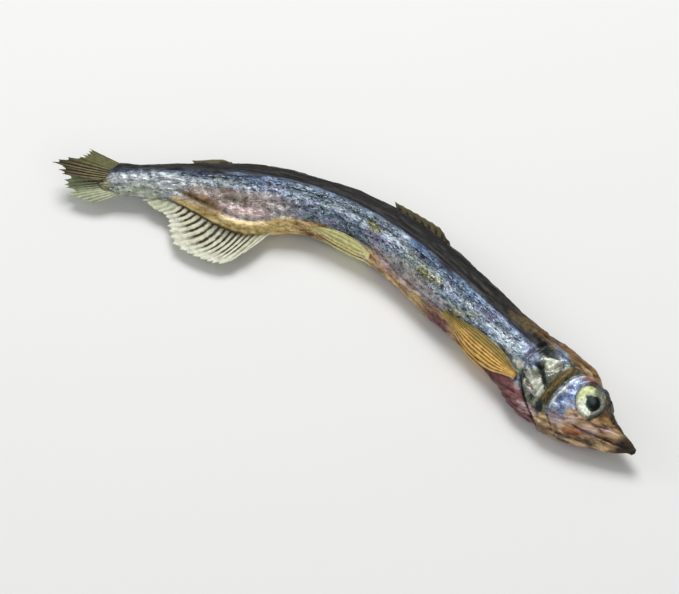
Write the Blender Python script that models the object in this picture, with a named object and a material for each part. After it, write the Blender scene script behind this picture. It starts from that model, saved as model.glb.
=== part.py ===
"""Dried capelin: one whole fish, salted and air dried, lying on its left flank.

Shapes are worked out in millimetres along the fish and laid on the bent spine last.
s runs from the snout back, y from the spine to the back, z out of the right flank.
In the finished part +X points to the head, +Y to the back and +Z up.
"""
import math

import bpy

NAME = "capelin"
MM = 0.001

# Spine: distance from the snout and heading of the fish there, in degrees.
SPINE_HEADINGS = ((0, -13), (25, -13), (50, -17.5), (75, -7), (95, 12), (115, 22), (137, 30))
SPINE_STEP = 0.5
ROLL = math.radians(9.0)
REST_CUT = 0.5

# Body sections: distance from the snout, height of back, depth of belly, half thickness.
SECTIONS = (
    (0, 0.6, 1.0, 0.6), (3, 1.4, 2.6, 1.6), (7, 2.45, 4.7, 2.6), (13, 5.4, 7.2, 3.7),
    (20, 8.8, 9.2, 4.4), (25, 8.9, 9.5, 4.6), (34, 8.0, 7.2, 4.65), (45, 8.1, 6.0, 4.75),
    (57, 8.3, 6.8, 4.85), (75, 8.0, 5.2, 4.85), (90, 7.5, 5.5, 4.6), (96, 7.3, 7.0, 4.35),
    (102, 7.0, 9.1, 4.05), (107, 6.5, 9.9, 3.7), (113, 5.6, 8.7, 3.2), (118, 4.9, 6.6, 2.8),
    (123, 4.35, 4.8, 2.45), (127, 4.05, 4.0, 2.2), (131, 4.0, 3.8, 1.8), (135, 4.1, 3.9, 1.35),
    (139.5, 2.9, 2.6, 0.5),
)
HEAD_END = 36.0
HEAD_STEP = 1.2
TRUNK_STEP = 3.0
AROUND = 40
FLANK_POWER = 0.82
KEEL = 0.28

# Head.
GILL_EDGE = 30.0
GILL_SWEEP = 0.135
CHEEK_EDGE = 20.4
MOUTH_END = 12.6
EYE_AT = (13.5, 1.3)
EYE_RADIUS = 3.4
PUPIL_RADIUS = 1.5
PUPIL_AHEAD = 1.1

# Fins.
FIN_THICKNESS = 0.5
ANAL_BASE = (98.5, 126.0)
ANAL_RAYS = 20
TAIL_ROOT = 134.0
TAIL_RAYS = 7

# Where the rays end, as (u across the fin's base, s, y).
ANAL_TIPS = (
    (0.0, 101.2, -11.5), (0.05, 104.0, -14.6), (0.11, 106.4, -17.0), (0.18, 108.8, -18.2),
    (0.32, 112.0, -18.2), (0.45, 115.6, -17.3), (0.56, 119.2, -15.9), (0.65, 122.2, -13.0),
    (0.73, 123.0, -10.6), (0.79, 123.3, -8.9), (0.84, 124.4, -7.4), (0.91, 127.0, -6.4),
    (1.0, 129.4, -4.6),
)
TAIL_TIPS = {
    1: ((0.0, 145.6, -0.4), (0.2, 147.2, 1.2), (0.38, 148.6, 3.0), (0.55, 145.4, 4.2),
        (0.7, 142.9, 5.0), (0.85, 142.4, 6.0), (1.0, 141.7, 7.0)),
    -1: ((0.0, 145.5, 0.2), (0.3, 146.0, -1.6), (0.6, 145.0, -3.6), (0.8, 143.2, -4.8),
         (1.0, 140.2, -5.6)),
}


def clear_scene():
    for thing in list(bpy.data.objects):
        bpy.data.objects.remove(thing, do_unlink=True)


def smooth(x):
    x = min(1.0, max(0.0, x))
    return x * x * (3.0 - 2.0 * x)


def bump(x, width):
    return math.exp(-((x / width) ** 2))


def curve_value(table, column, s):
    """Smooth value of one column of a table, without overshoot between its rows."""
    rows = len(table)
    i = 0
    while i < rows - 2 and s > table[i + 1][0]:
        i += 1
    span = table[i + 1][0] - table[i][0]

    def slope(k):
        if k == 0 or k == rows - 1:
            return 0.0 if column > 1 else rise(min(k, rows - 2))
        left, right = rise(k - 1), rise(k)
        return 0.0 if left * right <= 0 else 2 * left * right / (left + right)

    def rise(k):
        return (table[k + 1][column] - table[k][column]) / (table[k + 1][0] - table[k][0])

    t = min(1.0, max(0.0, (s - table[i][0]) / span))
    a, b = table[i][column], table[i + 1][column]
    m, n = slope(i) * span, slope(i + 1) * span
    return (a * (1 + 2 * t) + m * t) * (1 - t) ** 2 + (b * (3 - 2 * t) + n * (t - 1)) * t * t


def walk_spine():
    """Points and headings along the spine, one for each step from the snout."""
    x, y, walked = 0.0, 0.0, []
    for i in range(int(160 / SPINE_STEP) + 1):
        heading = math.radians(curve_value(SPINE_HEADINGS, 1, i * SPINE_STEP))
        walked.append((x, y, heading))
        x -= math.cos(heading) * SPINE_STEP
        y -= math.sin(heading) * SPINE_STEP
    return walked


SPINE = walk_spine()


def place(s, y, z):
    """Turn a point of the straight fish into a point of the bent, rolled fish."""
    at = max(0.0, s) / SPINE_STEP
    i = min(int(at), len(SPINE) - 2)
    t = at - i
    x0, y0, h0 = SPINE[i]
    x1, y1, h1 = SPINE[i + 1]
    h = h0 + (h1 - h0) * t
    x0 += (x1 - x0) * t + max(0.0, -s) * math.cos(h)
    y0 += (y1 - y0) * t + max(0.0, -s) * math.sin(h)
    across = y * math.cos(ROLL) - z * math.sin(ROLL)
    height = y * math.sin(ROLL) + z * math.cos(ROLL)
    return (x0 - math.sin(h) * across, y0 + math.cos(h) * across, height)


def section(s):
    return tuple(curve_value(SECTIONS, k, s) for k in (1, 2, 3))


def flank_height(s, y):
    """Half thickness of the plain body at a height y above or below the spine."""
    back, belly, half = section(s)
    c = max(-0.999, min(0.999, y / back if y > 0 else y / belly))
    return half * (1 - c * c) ** (FLANK_POWER / 2) * (1 - KEEL * max(0.0, -c) ** 1.5)


def relief(s, y):
    """Raised and sunk lines of the dried skin and head, outward in millimetres."""
    trunk = smooth((s - 36) / 8) * (1 - smooth((s - 116) / 10))
    out = -0.34 * bump(y - 1.3, 1.1) * trunk + 0.18 * bump(y - 3.2, 0.9) * trunk
    out -= 0.45 * bump(y + 2.2, 1.6) * bump(s - 106, 9)
    edge = GILL_EDGE - GILL_SWEEP * max(0.0, -y - 0.5) ** 2.0 - 0.05 * max(0.0, y - 2) ** 2
    plate = smooth((edge - s) / 2.0)
    out += 0.5 * plate * smooth((s - 6) / 8) * (1 - smooth((y - 4.5) / 2.5))
    out -= 0.3 * bump(s - edge - 0.6, 1.2) * (1 - smooth((y - 5) / 2))
    out -= 0.35 * bump(s - CHEEK_EDGE, 1.3) * bump(y + 1.5, 6.0)
    mouth = -0.15 - 0.46 * s + 0.009 * s * s
    out -= 0.45 * bump(y - mouth, 0.5) * (1 - smooth((s - MOUTH_END) / 1.2)) * smooth(s / 1.5)
    out += 0.25 * bump(y - mouth - 1.0, 0.8) * bump(s - 9.0, 4.0)
    return out


def body_mesh():
    stations = [i * HEAD_STEP for i in range(int(HEAD_END / HEAD_STEP))]
    count = round((SECTIONS[-1][0] - HEAD_END) / TRUNK_STEP)
    stations += [HEAD_END + (SECTIONS[-1][0] - HEAD_END) * i / count for i in range(count + 1)]
    points = [place(-0.5, -0.3, 0.0)]
    for s in stations:
        back, belly, half = section(s)
        for k in range(AROUND):
            a = 2 * math.pi * k / AROUND
            c, d = math.cos(a), math.sin(a)
            y = (back if c > 0 else belly) * c
            z = half * math.copysign(abs(d) ** FLANK_POWER, d) * (1 - KEEL * max(0.0, -c) ** 1.5)
            stretch = 1 + relief(s, y) * abs(d) / max(1.2, math.hypot(y, z))
            points.append(place(s, y * stretch, z * stretch))
    points.append(place(SECTIONS[-1][0] + 0.3, 0.0, 0.0))
    return points, tube_faces(len(stations), AROUND)


def tube_faces(rings, around):
    """Faces of a tube of rings with a point closing each end."""
    faces = []
    last = 1 + rings * around
    for k in range(around):
        n = (k + 1) % around
        faces.append((0, 1 + k, 1 + n))
        faces.append((last, last - around + n, last - around + k))
        for r in range(rings - 1):
            a, b = 1 + r * around, 1 + (r + 1) * around
            faces.append((a + k, b + k, b + n, a + n))
    return faces


def sheet_mesh(columns, rows, middle, thickness):
    """Thin closed solid about the surface middle(u, v), thick along the flank's z."""
    points = []
    for side in (1, -1):
        for i in range(columns + 1):
            for j in range(rows + 1):
                u, v = i / columns, j / rows
                s, y, z = middle(u, v)
                points.append(place(s, y, z + side * thickness(u, v) / 2))
    faces = []
    size = (columns + 1) * (rows + 1)

    def at(i, j, side):
        return side * size + i * (rows + 1) + j

    for i in range(columns):
        for j in range(rows):
            front = (at(i, j, 0), at(i + 1, j, 0), at(i + 1, j + 1, 0), at(i, j + 1, 0))
            faces.append(front)
            faces.append(tuple(p + size for p in reversed(front)))
    rim = [(i, 0) for i in range(columns)] + [(columns, j) for j in range(rows)]
    rim += [(columns - i, rows) for i in range(columns)] + [(0, rows - j) for j in range(rows)]
    for k, (i, j) in enumerate(rim):
        m, n = rim[(k + 1) % len(rim)]
        faces.append((at(i, j, 0), at(i, j, 1), at(m, n, 1), at(m, n, 0)))
    return points, faces


def ragged(k, seed):
    """Steady value from 0 to 1 for ray k of a fin."""
    return (math.sin(12.9898 * (k + 1) + 78.233 * seed) * 43758.5453) % 1.0


def ray_edge(u, rays, seed):
    """Length left at the fin's edge, 1 on a ray and a little less between rays."""
    at = u * (rays - 1)
    k = int(at)
    t = at - k
    tip = ragged(k, seed) * (1 - t) + ragged(k + 1, seed) * t
    return 1 - 0.09 * math.sin(math.pi * t) - 0.07 * tip


def ray_ridges(u, rays, v, thickness):
    """Fin thickness: stout at the root, thinner at the edge, ridged along the rays."""
    ridge = 0.5 + 0.5 * math.cos(2 * math.pi * u * (rays - 1))
    return thickness * (1.25 - 0.55 * v) * (0.72 + 0.4 * ridge)


def anal_fin():
    first, last = ANAL_BASE

    def middle(u, v):
        s = first + (last - first) * u
        root = -section(s)[1] + 1.6
        part = v * (0.03 + ray_edge(u, ANAL_RAYS, 1))
        wave = 0.45 * math.sin(5.0 * u + 0.6) * v * v + 0.7 * v * (1 - u)
        tip_s, tip_y = (curve_value(ANAL_TIPS, k, u) for k in (1, 2))
        return s + (tip_s - s) * part, root + (tip_y - root) * part, wave

    def thickness(u, v):
        return ray_ridges(u, ANAL_RAYS, v, FIN_THICKNESS)

    return sheet_mesh(3 * (ANAL_RAYS - 1), 5, middle, thickness)


def tail_lobe(up):
    """One lobe of the folded, frayed tail; up is 1 for the upper and -1 for the lower."""

    def middle(u, v):
        frayed = 1 - 0.12 * ragged(round(u * TAIL_RAYS), 3 + up)
        part = v * frayed * (0.04 + ray_edge(u, TAIL_RAYS + 1, 5 + up))
        root = up * (4.0 * u - 0.7)
        tip_s, tip_y = (curve_value(TAIL_TIPS[up], k, u) for k in (1, 2))
        curl = up * (0.22 + 1.0 * v * v) + 0.6 * math.sin(3.5 * u + up) * v * v
        return TAIL_ROOT + (tip_s - TAIL_ROOT) * part, root + (tip_y - root) * part, curl

    def thickness(u, v):
        return ray_ridges(u, TAIL_RAYS + 1, v, FIN_THICKNESS)

    return sheet_mesh(4 * TAIL_RAYS, 6, middle, thickness)


def back_fin(first, last, height, sweep, rays, lean):
    """A fin folded down on the back between two distances from the snout."""

    def middle(u, v):
        s = first + (last - first) * u
        reach = height * (0.35 + 0.65 * smooth(u / 0.25) - 0.4 * u) * ray_edge(u, rays, 9)
        root = section(s)[0] - 0.9
        return s + sweep * v, root + (reach + 0.9) * v, lean * v * v

    def thickness(u, v):
        return ray_ridges(u, rays, v, FIN_THICKNESS)

    return sheet_mesh(3 * (rays - 1), 3, middle, thickness)


def flank_blade(side, start, end, width, lift, rays):
    """A paired fin folded back on the flank; start and end are (s, y) of its middle."""

    def middle(u, v):
        shape = (0.35 + 0.65 * smooth(u / 0.3)) * (1 - 0.75 * smooth((u - 0.5) / 0.5))
        s = start[0] + (end[0] - start[0]) * u
        y = start[1] + (end[1] - start[1]) * u + width * shape * (v - 0.5)
        out = flank_height(s, y) + 0.05 + lift * u + 0.25 * math.sin(math.pi * v)
        return s, y, side * out

    def thickness(u, v):
        ridge = 0.5 + 0.5 * math.cos(2 * math.pi * v * rays)
        return (1.3 - 0.85 * u) * (0.8 + 0.25 * ridge)

    return sheet_mesh(8, 2 * rays, middle, thickness)


def eye_mesh(side):
    """Shrunken eye: a low dome with a rim, a sunk ring and a raised pupil set ahead."""
    profile = (
        (EYE_RADIUS, -1.4), (EYE_RADIUS, 0.1), (0.93 * EYE_RADIUS, 0.4),
        (0.78 * EYE_RADIUS, 0.5), (0.6 * EYE_RADIUS, 0.45), (PUPIL_RADIUS, 0.45),
        (0.8 * PUPIL_RADIUS, 0.7), (0.4 * PUPIL_RADIUS, 0.8),
    )
    around = 24
    s0, y0 = EYE_AT
    middle = s0 - PUPIL_AHEAD
    base = flank_height(s0, y0)
    points = [place(s0, y0, side * (base - 1.6))]
    for radius, rise in profile:
        ahead = PUPIL_AHEAD * (1 - (radius / EYE_RADIUS) ** 2)
        for k in range(around):
            a = 2 * math.pi * k / around
            wide = radius * (1 + 0.1 * math.sin(2 * a))
            s = s0 - ahead + wide * math.cos(a)
            y = y0 + wide * math.sin(a)
            level = 0.4 * base + 0.6 * flank_height(s, y) + 0.3
            points.append(place(s, y, side * (level + rise)))
    points.append(place(middle, y0, side * (0.4 * base + 0.6 * flank_height(middle, y0) + 1.12)))
    return points, tube_faces(len(profile), around)


def add_piece(name, mesh_data, collection):
    points, faces = mesh_data
    mesh = bpy.data.meshes.new(name)
    mesh.from_pydata([tuple(c * MM for c in p) for p in points], [], faces)
    mesh.update()
    thing = bpy.data.objects.new(name, mesh)
    collection.objects.link(thing)
    return thing


def face_outward(thing):
    bpy.context.view_layer.objects.active = thing
    thing.select_set(True)
    bpy.ops.object.mode_set(mode="EDIT")
    bpy.ops.mesh.select_all(action="SELECT")
    bpy.ops.mesh.normals_make_consistent(inside=False)
    bpy.ops.object.mode_set(mode="OBJECT")
    thing.select_set(False)


def combine(body, operation, pieces):
    """Join the pieces to the body, or cut them out of it, and remove them."""
    step = body.modifiers.new("combine", "BOOLEAN")
    step.operation = operation
    step.solver = "EXACT"
    step.operand_type = "COLLECTION"
    step.collection = pieces
    bpy.context.view_layer.objects.active = body
    bpy.ops.object.modifier_apply(modifier=step.name)
    for thing in list(pieces.objects):
        bpy.data.objects.remove(thing, do_unlink=True)


def table_block(body, pieces):
    """A block whose top is where the table presses the lower flank flat."""
    top = min(v.co.z for v in body.data.vertices) / MM + REST_CUT
    spans = ((-200.0, 60.0), (-100.0, 100.0), (top - 20.0, top))
    points = [(x, y, z) for x in spans[0] for y in spans[1] for z in spans[2]]
    faces = [(0, 1, 3, 2), (4, 6, 7, 5), (0, 4, 5, 1), (2, 3, 7, 6), (0, 2, 6, 4), (1, 5, 7, 3)]
    face_outward(add_piece("table", (points, faces), pieces))


def centre_on_base(thing):
    """Put the middle of the underside's box at the origin."""
    spots = [v.co for v in thing.data.vertices]
    middle_x = (min(p.x for p in spots) + max(p.x for p in spots)) / 2
    middle_y = (min(p.y for p in spots) + max(p.y for p in spots)) / 2
    lowest = min(p.z for p in spots)
    for p in spots:
        p.x -= middle_x
        p.y -= middle_y
        p.z -= lowest
    thing.data.update()
    print("moved by mm", -middle_x / MM, -middle_y / MM, -lowest / MM)


def skin_material():
    material = bpy.data.materials.new("dried_skin")
    material.use_nodes = True
    shader = material.node_tree.nodes["Principled BSDF"]
    shader.inputs["Base Color"].default_value = (0.19, 0.22, 0.26, 1.0)
    shader.inputs["Metallic"].default_value = 0.0
    shader.inputs["Roughness"].default_value = 0.42
    return material


def build():
    clear_scene()
    home = bpy.data.collections.new(NAME)
    pieces = bpy.data.collections.new("pieces")
    cutters = bpy.data.collections.new("cutters")
    for collection in (home, pieces, cutters):
        bpy.context.scene.collection.children.link(collection)
    body = add_piece(NAME, body_mesh(), home)
    face_outward(body)
    table_block(body, cutters)
    shapes = {
        "anal_fin": anal_fin(),
        "tail_upper": tail_lobe(1),
        "tail_lower": tail_lobe(-1),
        "dorsal_fin": back_fin(62.0, 76.0, 2.2, 2.2, 9, 0.9),
        "adipose_fin": back_fin(110.0, 118.0, 1.3, 1.8, 3, 0.3),
    }
    for side, label in ((1, "right"), (-1, "left")):
        shapes["pectoral_" + label] = flank_blade(side, (29.5, -4.6), (52.0, -4.5), 4.2, 0.5, 5)
        shapes["pelvic_" + label] = flank_blade(side, (74.5, -4.8), (90.5, -5.0), 2.0, 0.35, 3)
        shapes["eye_" + label] = eye_mesh(side)
    for label, mesh_data in shapes.items():
        face_outward(add_piece(label, mesh_data, pieces))
    combine(body, "UNION", pieces)
    combine(body, "DIFFERENCE", cutters)
    for collection in (pieces, cutters):
        bpy.data.collections.remove(collection)
    centre_on_base(body)
    body.data.materials.clear()
    body.data.materials.append(skin_material())


build()
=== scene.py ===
"""Looks of a dried capelin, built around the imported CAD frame.

Every shape is worked out in millimetres on the straight fish: s from the snout back,
y from the spine towards the back, z out of the right flank. The spine then bends and
rolls it into place, in metres, in the same frame as the CAD solid that it replaces.
"""
from __future__ import annotations

import logging
import math
from dataclasses import dataclass
from enum import Enum
from functools import cached_property, partial
from itertools import product
from typing import Callable, Sequence

import bpy
import numpy as np
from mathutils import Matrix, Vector


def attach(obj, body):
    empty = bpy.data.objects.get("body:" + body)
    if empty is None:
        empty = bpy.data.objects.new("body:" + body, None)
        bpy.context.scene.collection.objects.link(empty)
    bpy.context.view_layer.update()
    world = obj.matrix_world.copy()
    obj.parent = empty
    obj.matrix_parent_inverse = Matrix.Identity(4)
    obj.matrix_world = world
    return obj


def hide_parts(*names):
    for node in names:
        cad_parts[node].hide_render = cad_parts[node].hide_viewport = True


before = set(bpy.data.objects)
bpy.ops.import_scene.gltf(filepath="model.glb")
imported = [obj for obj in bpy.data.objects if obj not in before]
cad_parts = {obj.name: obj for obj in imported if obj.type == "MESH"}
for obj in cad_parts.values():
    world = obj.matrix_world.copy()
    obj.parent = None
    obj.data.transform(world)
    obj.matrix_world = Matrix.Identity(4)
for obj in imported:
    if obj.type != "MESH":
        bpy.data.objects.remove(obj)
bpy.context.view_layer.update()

log = logging.getLogger("capelin")
MM = 0.001
NODE = "capelin"
BODY = "root"
BLOTS_PER_MM = 0.9
Array = np.ndarray
Piece = bpy.types.Object
Material = bpy.types.Material
Tree = bpy.types.NodeTree
Node = bpy.types.Node
Socket = bpy.types.NodeSocket
Adder = Callable[..., bpy.types.Node]
Surface = Callable[[Array, Array], tuple[Array, Array, Array]]
Width = Callable[[Array, Array], Array]


class Side(Enum):
    """Flank of the fish; the right one faces up."""

    RIGHT = 1
    LEFT = -1

    @property
    def label(self) -> str:
        """Lower-case name used in piece names."""
        return self.name.lower()


class Zone(Enum):
    """Part of the skin with a colour of its own, kept as a point attribute."""

    UPPER = "zone_upper"
    AZURE = "zone_azure"
    PALE = "zone_pale"
    TAIL = "zone_tail"
    SAGE = "zone_sage"
    MAUVE = "zone_mauve"
    TARNISH = "zone_tarnish"
    BELLY = "zone_belly"
    GOLD = "zone_gold"
    THROAT = "zone_throat"
    BACK = "zone_back"
    OPERCLE = "zone_opercle"
    CROWN = "zone_crown"
    CHEEK = "zone_cheek"
    JAW = "zone_jaw"
    STRIPE = "zone_stripe"
    SLATE = "zone_slate"
    PINK = "zone_pink"
    RED = "zone_red"
    PEARL = "zone_pearl"
    # Dark snout tip, also used for painted shadows on the head and flank.
    SNOUT = "zone_snout"
    # Painted shade: creases of the gill cover and jaw, the mouth's gap and the eye socket's shadow.
    INK = "zone_ink"


@dataclass(frozen=True)
class Blotch:
    """A soft-edged oval mark on both flanks, in millimetres, with its turn in degrees."""

    zone: Zone
    s: float
    y: float
    long: float
    wide: float
    turn: float = 0.0
    strength: float = 1.0

    def share(self, s: Array, y: Array) -> Array:
        """Share of the mark at each point, from 0 to its strength."""
        c, d = math.cos(math.radians(self.turn)), math.sin(math.radians(self.turn))
        ds, dy = s - self.s, y - self.y
        far = np.hypot((ds * c + dy * d) / self.long, (dy * c - ds * d) / self.wide)
        return self.strength * fall(far, 0.55, 0.9)


# ---------------------------------------------------------------- sums and curves


def linear(code: str) -> tuple[float, float, float, float]:
    """Turn an sRGB hex value into a linear colour.

    Args:
        code: Hex value such as "#6E7F8A".

    Returns:
        Linear red, green, blue and an alpha of one.
    """
    parts = [int(code[i:i + 2], 16) / 255 for i in (1, 3, 5)]
    lit = [c / 12.92 if c <= 0.04045 else ((c + 0.055) / 1.055) ** 2.4 for c in parts]
    return (lit[0], lit[1], lit[2], 1.0)


def smooth(x: Array | float) -> Array:
    """Ease from 0 to 1 as x goes from 0 to 1."""
    x = np.clip(x, 0.0, 1.0)
    return x * x * (3.0 - 2.0 * x)


def rise(x: Array, start: Array | float, over: Array | float) -> Array:
    """Ease from 0 to 1 as x goes on from start, over a length."""
    return smooth((x - start) / over)


def fall(x: Array, start: Array | float, over: float) -> Array:
    """Ease from 1 to 0 as x goes on from start, over a length."""
    return 1 - smooth((x - start) / over)


def window(x: Array, start: float, end: Array | float, into: float, out: float) -> Array:
    """Rise from start on and fall from end on, each over a length of its own."""
    return rise(x, start, into) * fall(x, end, out)


def ripple(across: Array, rays: int) -> Array:
    """Wave across a fin from its first ray to its last, 1 on a ray and -1 between two."""
    return np.cos(2 * np.pi * across * (rays - 1))


def turns(count: int) -> Array:
    """Angles spaced evenly about a circle."""
    return 2 * np.pi * np.arange(count) / count


def bump(x: Array, width: float) -> Array:
    """Rounded hill of height 1 about zero."""
    return np.exp(-((x / width) ** 2))


def table_curve(rows: Sequence[Sequence[float]], column: int, s: Array) -> Array:
    """Smooth values of one column of a table, without overshoot between its rows.

    Args:
        rows: Table whose first column is the distance from the snout.
        column: Column to read.
        s: Distances from the snout.

    Returns:
        One value for each distance.
    """
    x = np.array([r[0] for r in rows], float)
    v = np.array([r[column] for r in rows], float)
    grade = np.diff(v) / np.diff(x)
    slope = np.zeros_like(v)
    left, right = grade[:-1], grade[1:]
    same = left * right > 0
    slope[1:-1][same] = 2 * left[same] * right[same] / (left[same] + right[same])
    if column == 1:
        slope[0], slope[-1] = grade[0], grade[-1]
    i = np.clip(np.searchsorted(x, s, side="left") - 1, 0, len(x) - 2)
    span = x[i + 1] - x[i]
    t = np.clip((s - x[i]) / span, 0.0, 1.0)
    a, b, m, n = v[i], v[i + 1], slope[i] * span, slope[i + 1] * span
    return (a * (1 + 2 * t) + m * t) * (1 - t) ** 2 + (b * (3 - 2 * t) + n * (t - 1)) * t * t


def steady(k: Array | float, seed: float) -> Array:
    """Fixed value from 0 to 1 for ray k of a fin."""
    return np.mod(np.sin(12.9898 * (np.asarray(k) + 1) + 78.233 * seed) * 43758.5453, 1.0)


@dataclass(frozen=True)
class Grain:
    """Seeded smooth noise over points in millimetres."""

    seed: int

    def value(self, points: Array, size: tuple[float, float, float]) -> Array:
        """Noise from -1 to 1.

        Args:
            points: Points as rows.
            size: Spacing of the noise along each axis, in millimetres.

        Returns:
            One value for each point.
        """
        q = points / np.array(size) + 37.7 * self.seed + 1000.0
        cell = np.floor(q).astype(np.int64)
        f = q - cell
        f = f * f * f * (f * (f * 6 - 15) + 10)
        total = np.zeros(len(points))
        for corner in product((0, 1), repeat=3):
            x, y, z = (cell[:, k] + corner[k] for k in range(3))
            h = (x * 73856093) ^ (y * 19349663)
            h = (h ^ (z * 83492791) ^ (self.seed * 2654435761)) & 0xFFFFFFFF
            h = ((h ^ (h >> 15)) * 2246822519) & 0xFFFFFFFF
            h = ((h ^ (h >> 13)) * 3266489917) & 0xFFFFFFFF
            wx, wy, wz = (f[:, k] if corner[k] else 1 - f[:, k] for k in range(3))
            total += ((h ^ (h >> 16)) / 0x7FFFFFFF - 1.0) * wx * wy * wz
        return total

    def layered(self, points: Array, size: tuple[float, float, float], layers: int) -> Array:
        """Sum of ever finer and weaker noise, about -1 to 1."""
        total = np.zeros(len(points))
        for k in range(layers):
            step = tuple(c / 2 ** k for c in size)
            total += Grain(self.seed + 11 * k).value(points, step) / 2 ** k
        return total / 1.4

    def ridged(self, points: Array, size: tuple[float, float, float], layers: int) -> Array:
        """Sharp crests, 1 on a crest and 0 between them."""
        return np.clip(1 - 2.2 * np.abs(self.layered(points, size, layers)), 0.0, 1.0)


# ---------------------------------------------------------------- the fish's own form


@dataclass(frozen=True)
class Spine:
    """Bend and roll of the dried fish."""

    headings: tuple = ((0, -13), (25, -13), (50, -17.5), (75, -7), (95, 12), (115, 22), (137, 30))
    step: float = 0.5
    reach: float = 170.0
    roll: float = math.radians(9.0)
    shift: tuple = (70.964, -11.1396, 4.6485)

    @cached_property
    def walked(self) -> tuple[Array, Array, Array]:
        """Points and headings along the spine, one for each step from the snout."""
        at = np.arange(int(self.reach / self.step) + 1) * self.step
        heading = np.radians(table_curve(self.headings, 1, at))
        x = -np.concatenate(([0.0], np.cumsum(np.cos(heading) * self.step)[:-1]))
        y = -np.concatenate(([0.0], np.cumsum(np.sin(heading) * self.step)[:-1]))
        return x, y, heading

    def lay(self, straight: Array) -> Array:
        """Lay points of the straight fish on the bent, rolled spine.

        Args:
            straight: Rows of s, y and z in millimetres.

        Returns:
            Rows of x, y and z in metres, in the CAD's frame.
        """
        s, y, z = straight[:, 0], straight[:, 1], straight[:, 2]
        x0, y0, h0 = self.walked
        at = np.arange(len(x0)) * self.step
        ahead = np.maximum(0.0, s)
        h = np.interp(ahead, at, h0)
        x = np.interp(ahead, at, x0) + np.maximum(0.0, -s) * np.cos(h)
        y1 = np.interp(ahead, at, y0) + np.maximum(0.0, -s) * np.sin(h)
        across = y * math.cos(self.roll) - z * math.sin(self.roll)
        height = y * math.sin(self.roll) + z * math.cos(self.roll)
        world = np.stack((x - np.sin(h) * across, y1 + np.cos(h) * across, height), axis=1)
        return (world + np.array(self.shift)) * MM


@dataclass(frozen=True)
class Form:
    """Sections of the plain body: the sizes that the CAD solid has too."""

    sections: tuple = (
        (0, 0.6, 1.0, 0.6), (3, 1.4, 2.6, 1.6), (7, 2.45, 4.7, 2.6), (13, 5.4, 7.2, 3.7),
        (20, 8.8, 9.2, 4.4), (25, 8.9, 9.5, 4.6), (34, 8.0, 7.2, 4.65), (45, 8.1, 6.0, 4.75),
        (57, 8.3, 6.8, 4.85), (75, 8.0, 5.2, 4.85), (90, 7.5, 5.5, 4.6), (96, 7.3, 7.0, 4.35),
        (102, 7.0, 9.1, 4.05), (107, 6.5, 9.9, 3.7), (113, 5.6, 8.7, 3.2), (118, 4.9, 6.6, 2.8),
        (123, 4.35, 4.8, 2.45), (127, 4.05, 4.0, 2.2), (131, 4.0, 3.8, 1.8), (135, 4.1, 3.9, 1.35),
        (139.5, 2.9, 2.6, 0.5),
    )
    flank_power: float = 0.82
    keel: float = 0.28
    gill_edge: float = 30.0
    gill_sweep: float = 0.135
    gill_hinge: tuple = (20.5, 5.5)
    cheek_edge: float = 20.4
    mouth_end: float = 12.6
    eye_at: tuple = (13.5, 1.3)
    eye_radius: float = 3.4
    pupil_ahead: float = 1.1
    tail_root: float = 134.0

    @property
    def length(self) -> float:
        """Distance from the snout to the end of the tail root."""
        return float(self.sections[-1][0])

    def section(self, s: Array) -> tuple[Array, Array, Array]:
        """Height of back, depth of belly and half thickness at distances from the snout."""
        return tuple(table_curve(self.sections, k, np.asarray(s, float)) for k in (1, 2, 3))

    def ring(self, s: Array, a: Array) -> tuple[Array, Array]:
        """Points of the plain section, with a = 0 on the back and pi on the belly."""
        back, belly, half = self.section(s)
        c, d = np.cos(a), np.sin(a)
        y = np.where(c > 0, back, belly) * c
        z = half * np.sign(d) * np.abs(d) ** self.flank_power
        return y, z * (1 - self.keel * np.maximum(0.0, -c) ** 1.5)

    def flank(self, s: Array, y: Array) -> Array:
        """Half thickness of the plain body at a height y above or below the spine."""
        back, belly, half = self.section(s)
        c = np.clip(np.where(y > 0, y / back, y / belly), -0.999, 0.999)
        rounded = half * (1 - c * c) ** (self.flank_power / 2)
        return rounded * (1 - self.keel * np.maximum(0.0, -c) ** 1.5)

    def gill_line(self, y: Array) -> Array:
        """Distance from the snout of the gill cover's rear edge."""
        low = self.gill_sweep * np.maximum(0.0, -y - 0.5) ** 2
        return self.gill_edge - low - 0.05 * np.maximum(0.0, y - 2) ** 2

    def cheek_line(self, y: Array) -> Array:
        """Distance from the snout of the cheek's rear edge."""
        high, low = np.maximum(0.0, y - 0.2), np.maximum(0.0, -y - 4.4)
        return self.cheek_edge - 0.07 * high ** 2 - 0.4 * low ** 2

    def mouth_line(self, s: Array) -> Array:
        """Height of the closed mouth's line."""
        return -0.15 - 0.46 * s + 0.009 * s * s

    def eye_distance(self, s: Array, y: Array) -> Array:
        """Distance from the middle of the eye, 1 at its rim."""
        ds, dy = s - self.eye_at[0], y - self.eye_at[1]
        angle = np.arctan2(dy, ds)
        return np.hypot(ds, dy) / (self.eye_radius * (1 + 0.1 * np.sin(2 * angle)))


# ---------------------------------------------------------------- making meshes and nodes


def make_mesh(name: str, points: Array, faces: Sequence[Sequence[int]]) -> Piece:
    """Make a smooth-shaded piece from points in metres.

    Args:
        name: Name of the piece.
        points: Rows of x, y and z.
        faces: Rows of point numbers.

    Returns:
        The new object, at the origin.
    """
    mesh = bpy.data.meshes.new(name)
    mesh.from_pydata(points.tolist(), [], [tuple(map(int, f)) for f in faces])
    mesh.validate()
    mesh.polygons.foreach_set("use_smooth", np.ones(len(mesh.polygons), bool))
    mesh.update()
    piece = bpy.data.objects.new(name, mesh)
    bpy.context.scene.collection.objects.link(piece)
    return piece


def tag_points(piece: Piece, name: str, values: Array) -> None:
    """Keep one number or one vector for each point of a piece as an attribute."""
    kind = "FLOAT_VECTOR" if values.ndim == 2 else "FLOAT"
    field_name = "vector" if values.ndim == 2 else "value"
    layer = piece.data.attributes.new(name, kind, "POINT")
    layer.data.foreach_set(field_name, np.ascontiguousarray(values, np.float32).ravel())


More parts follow.
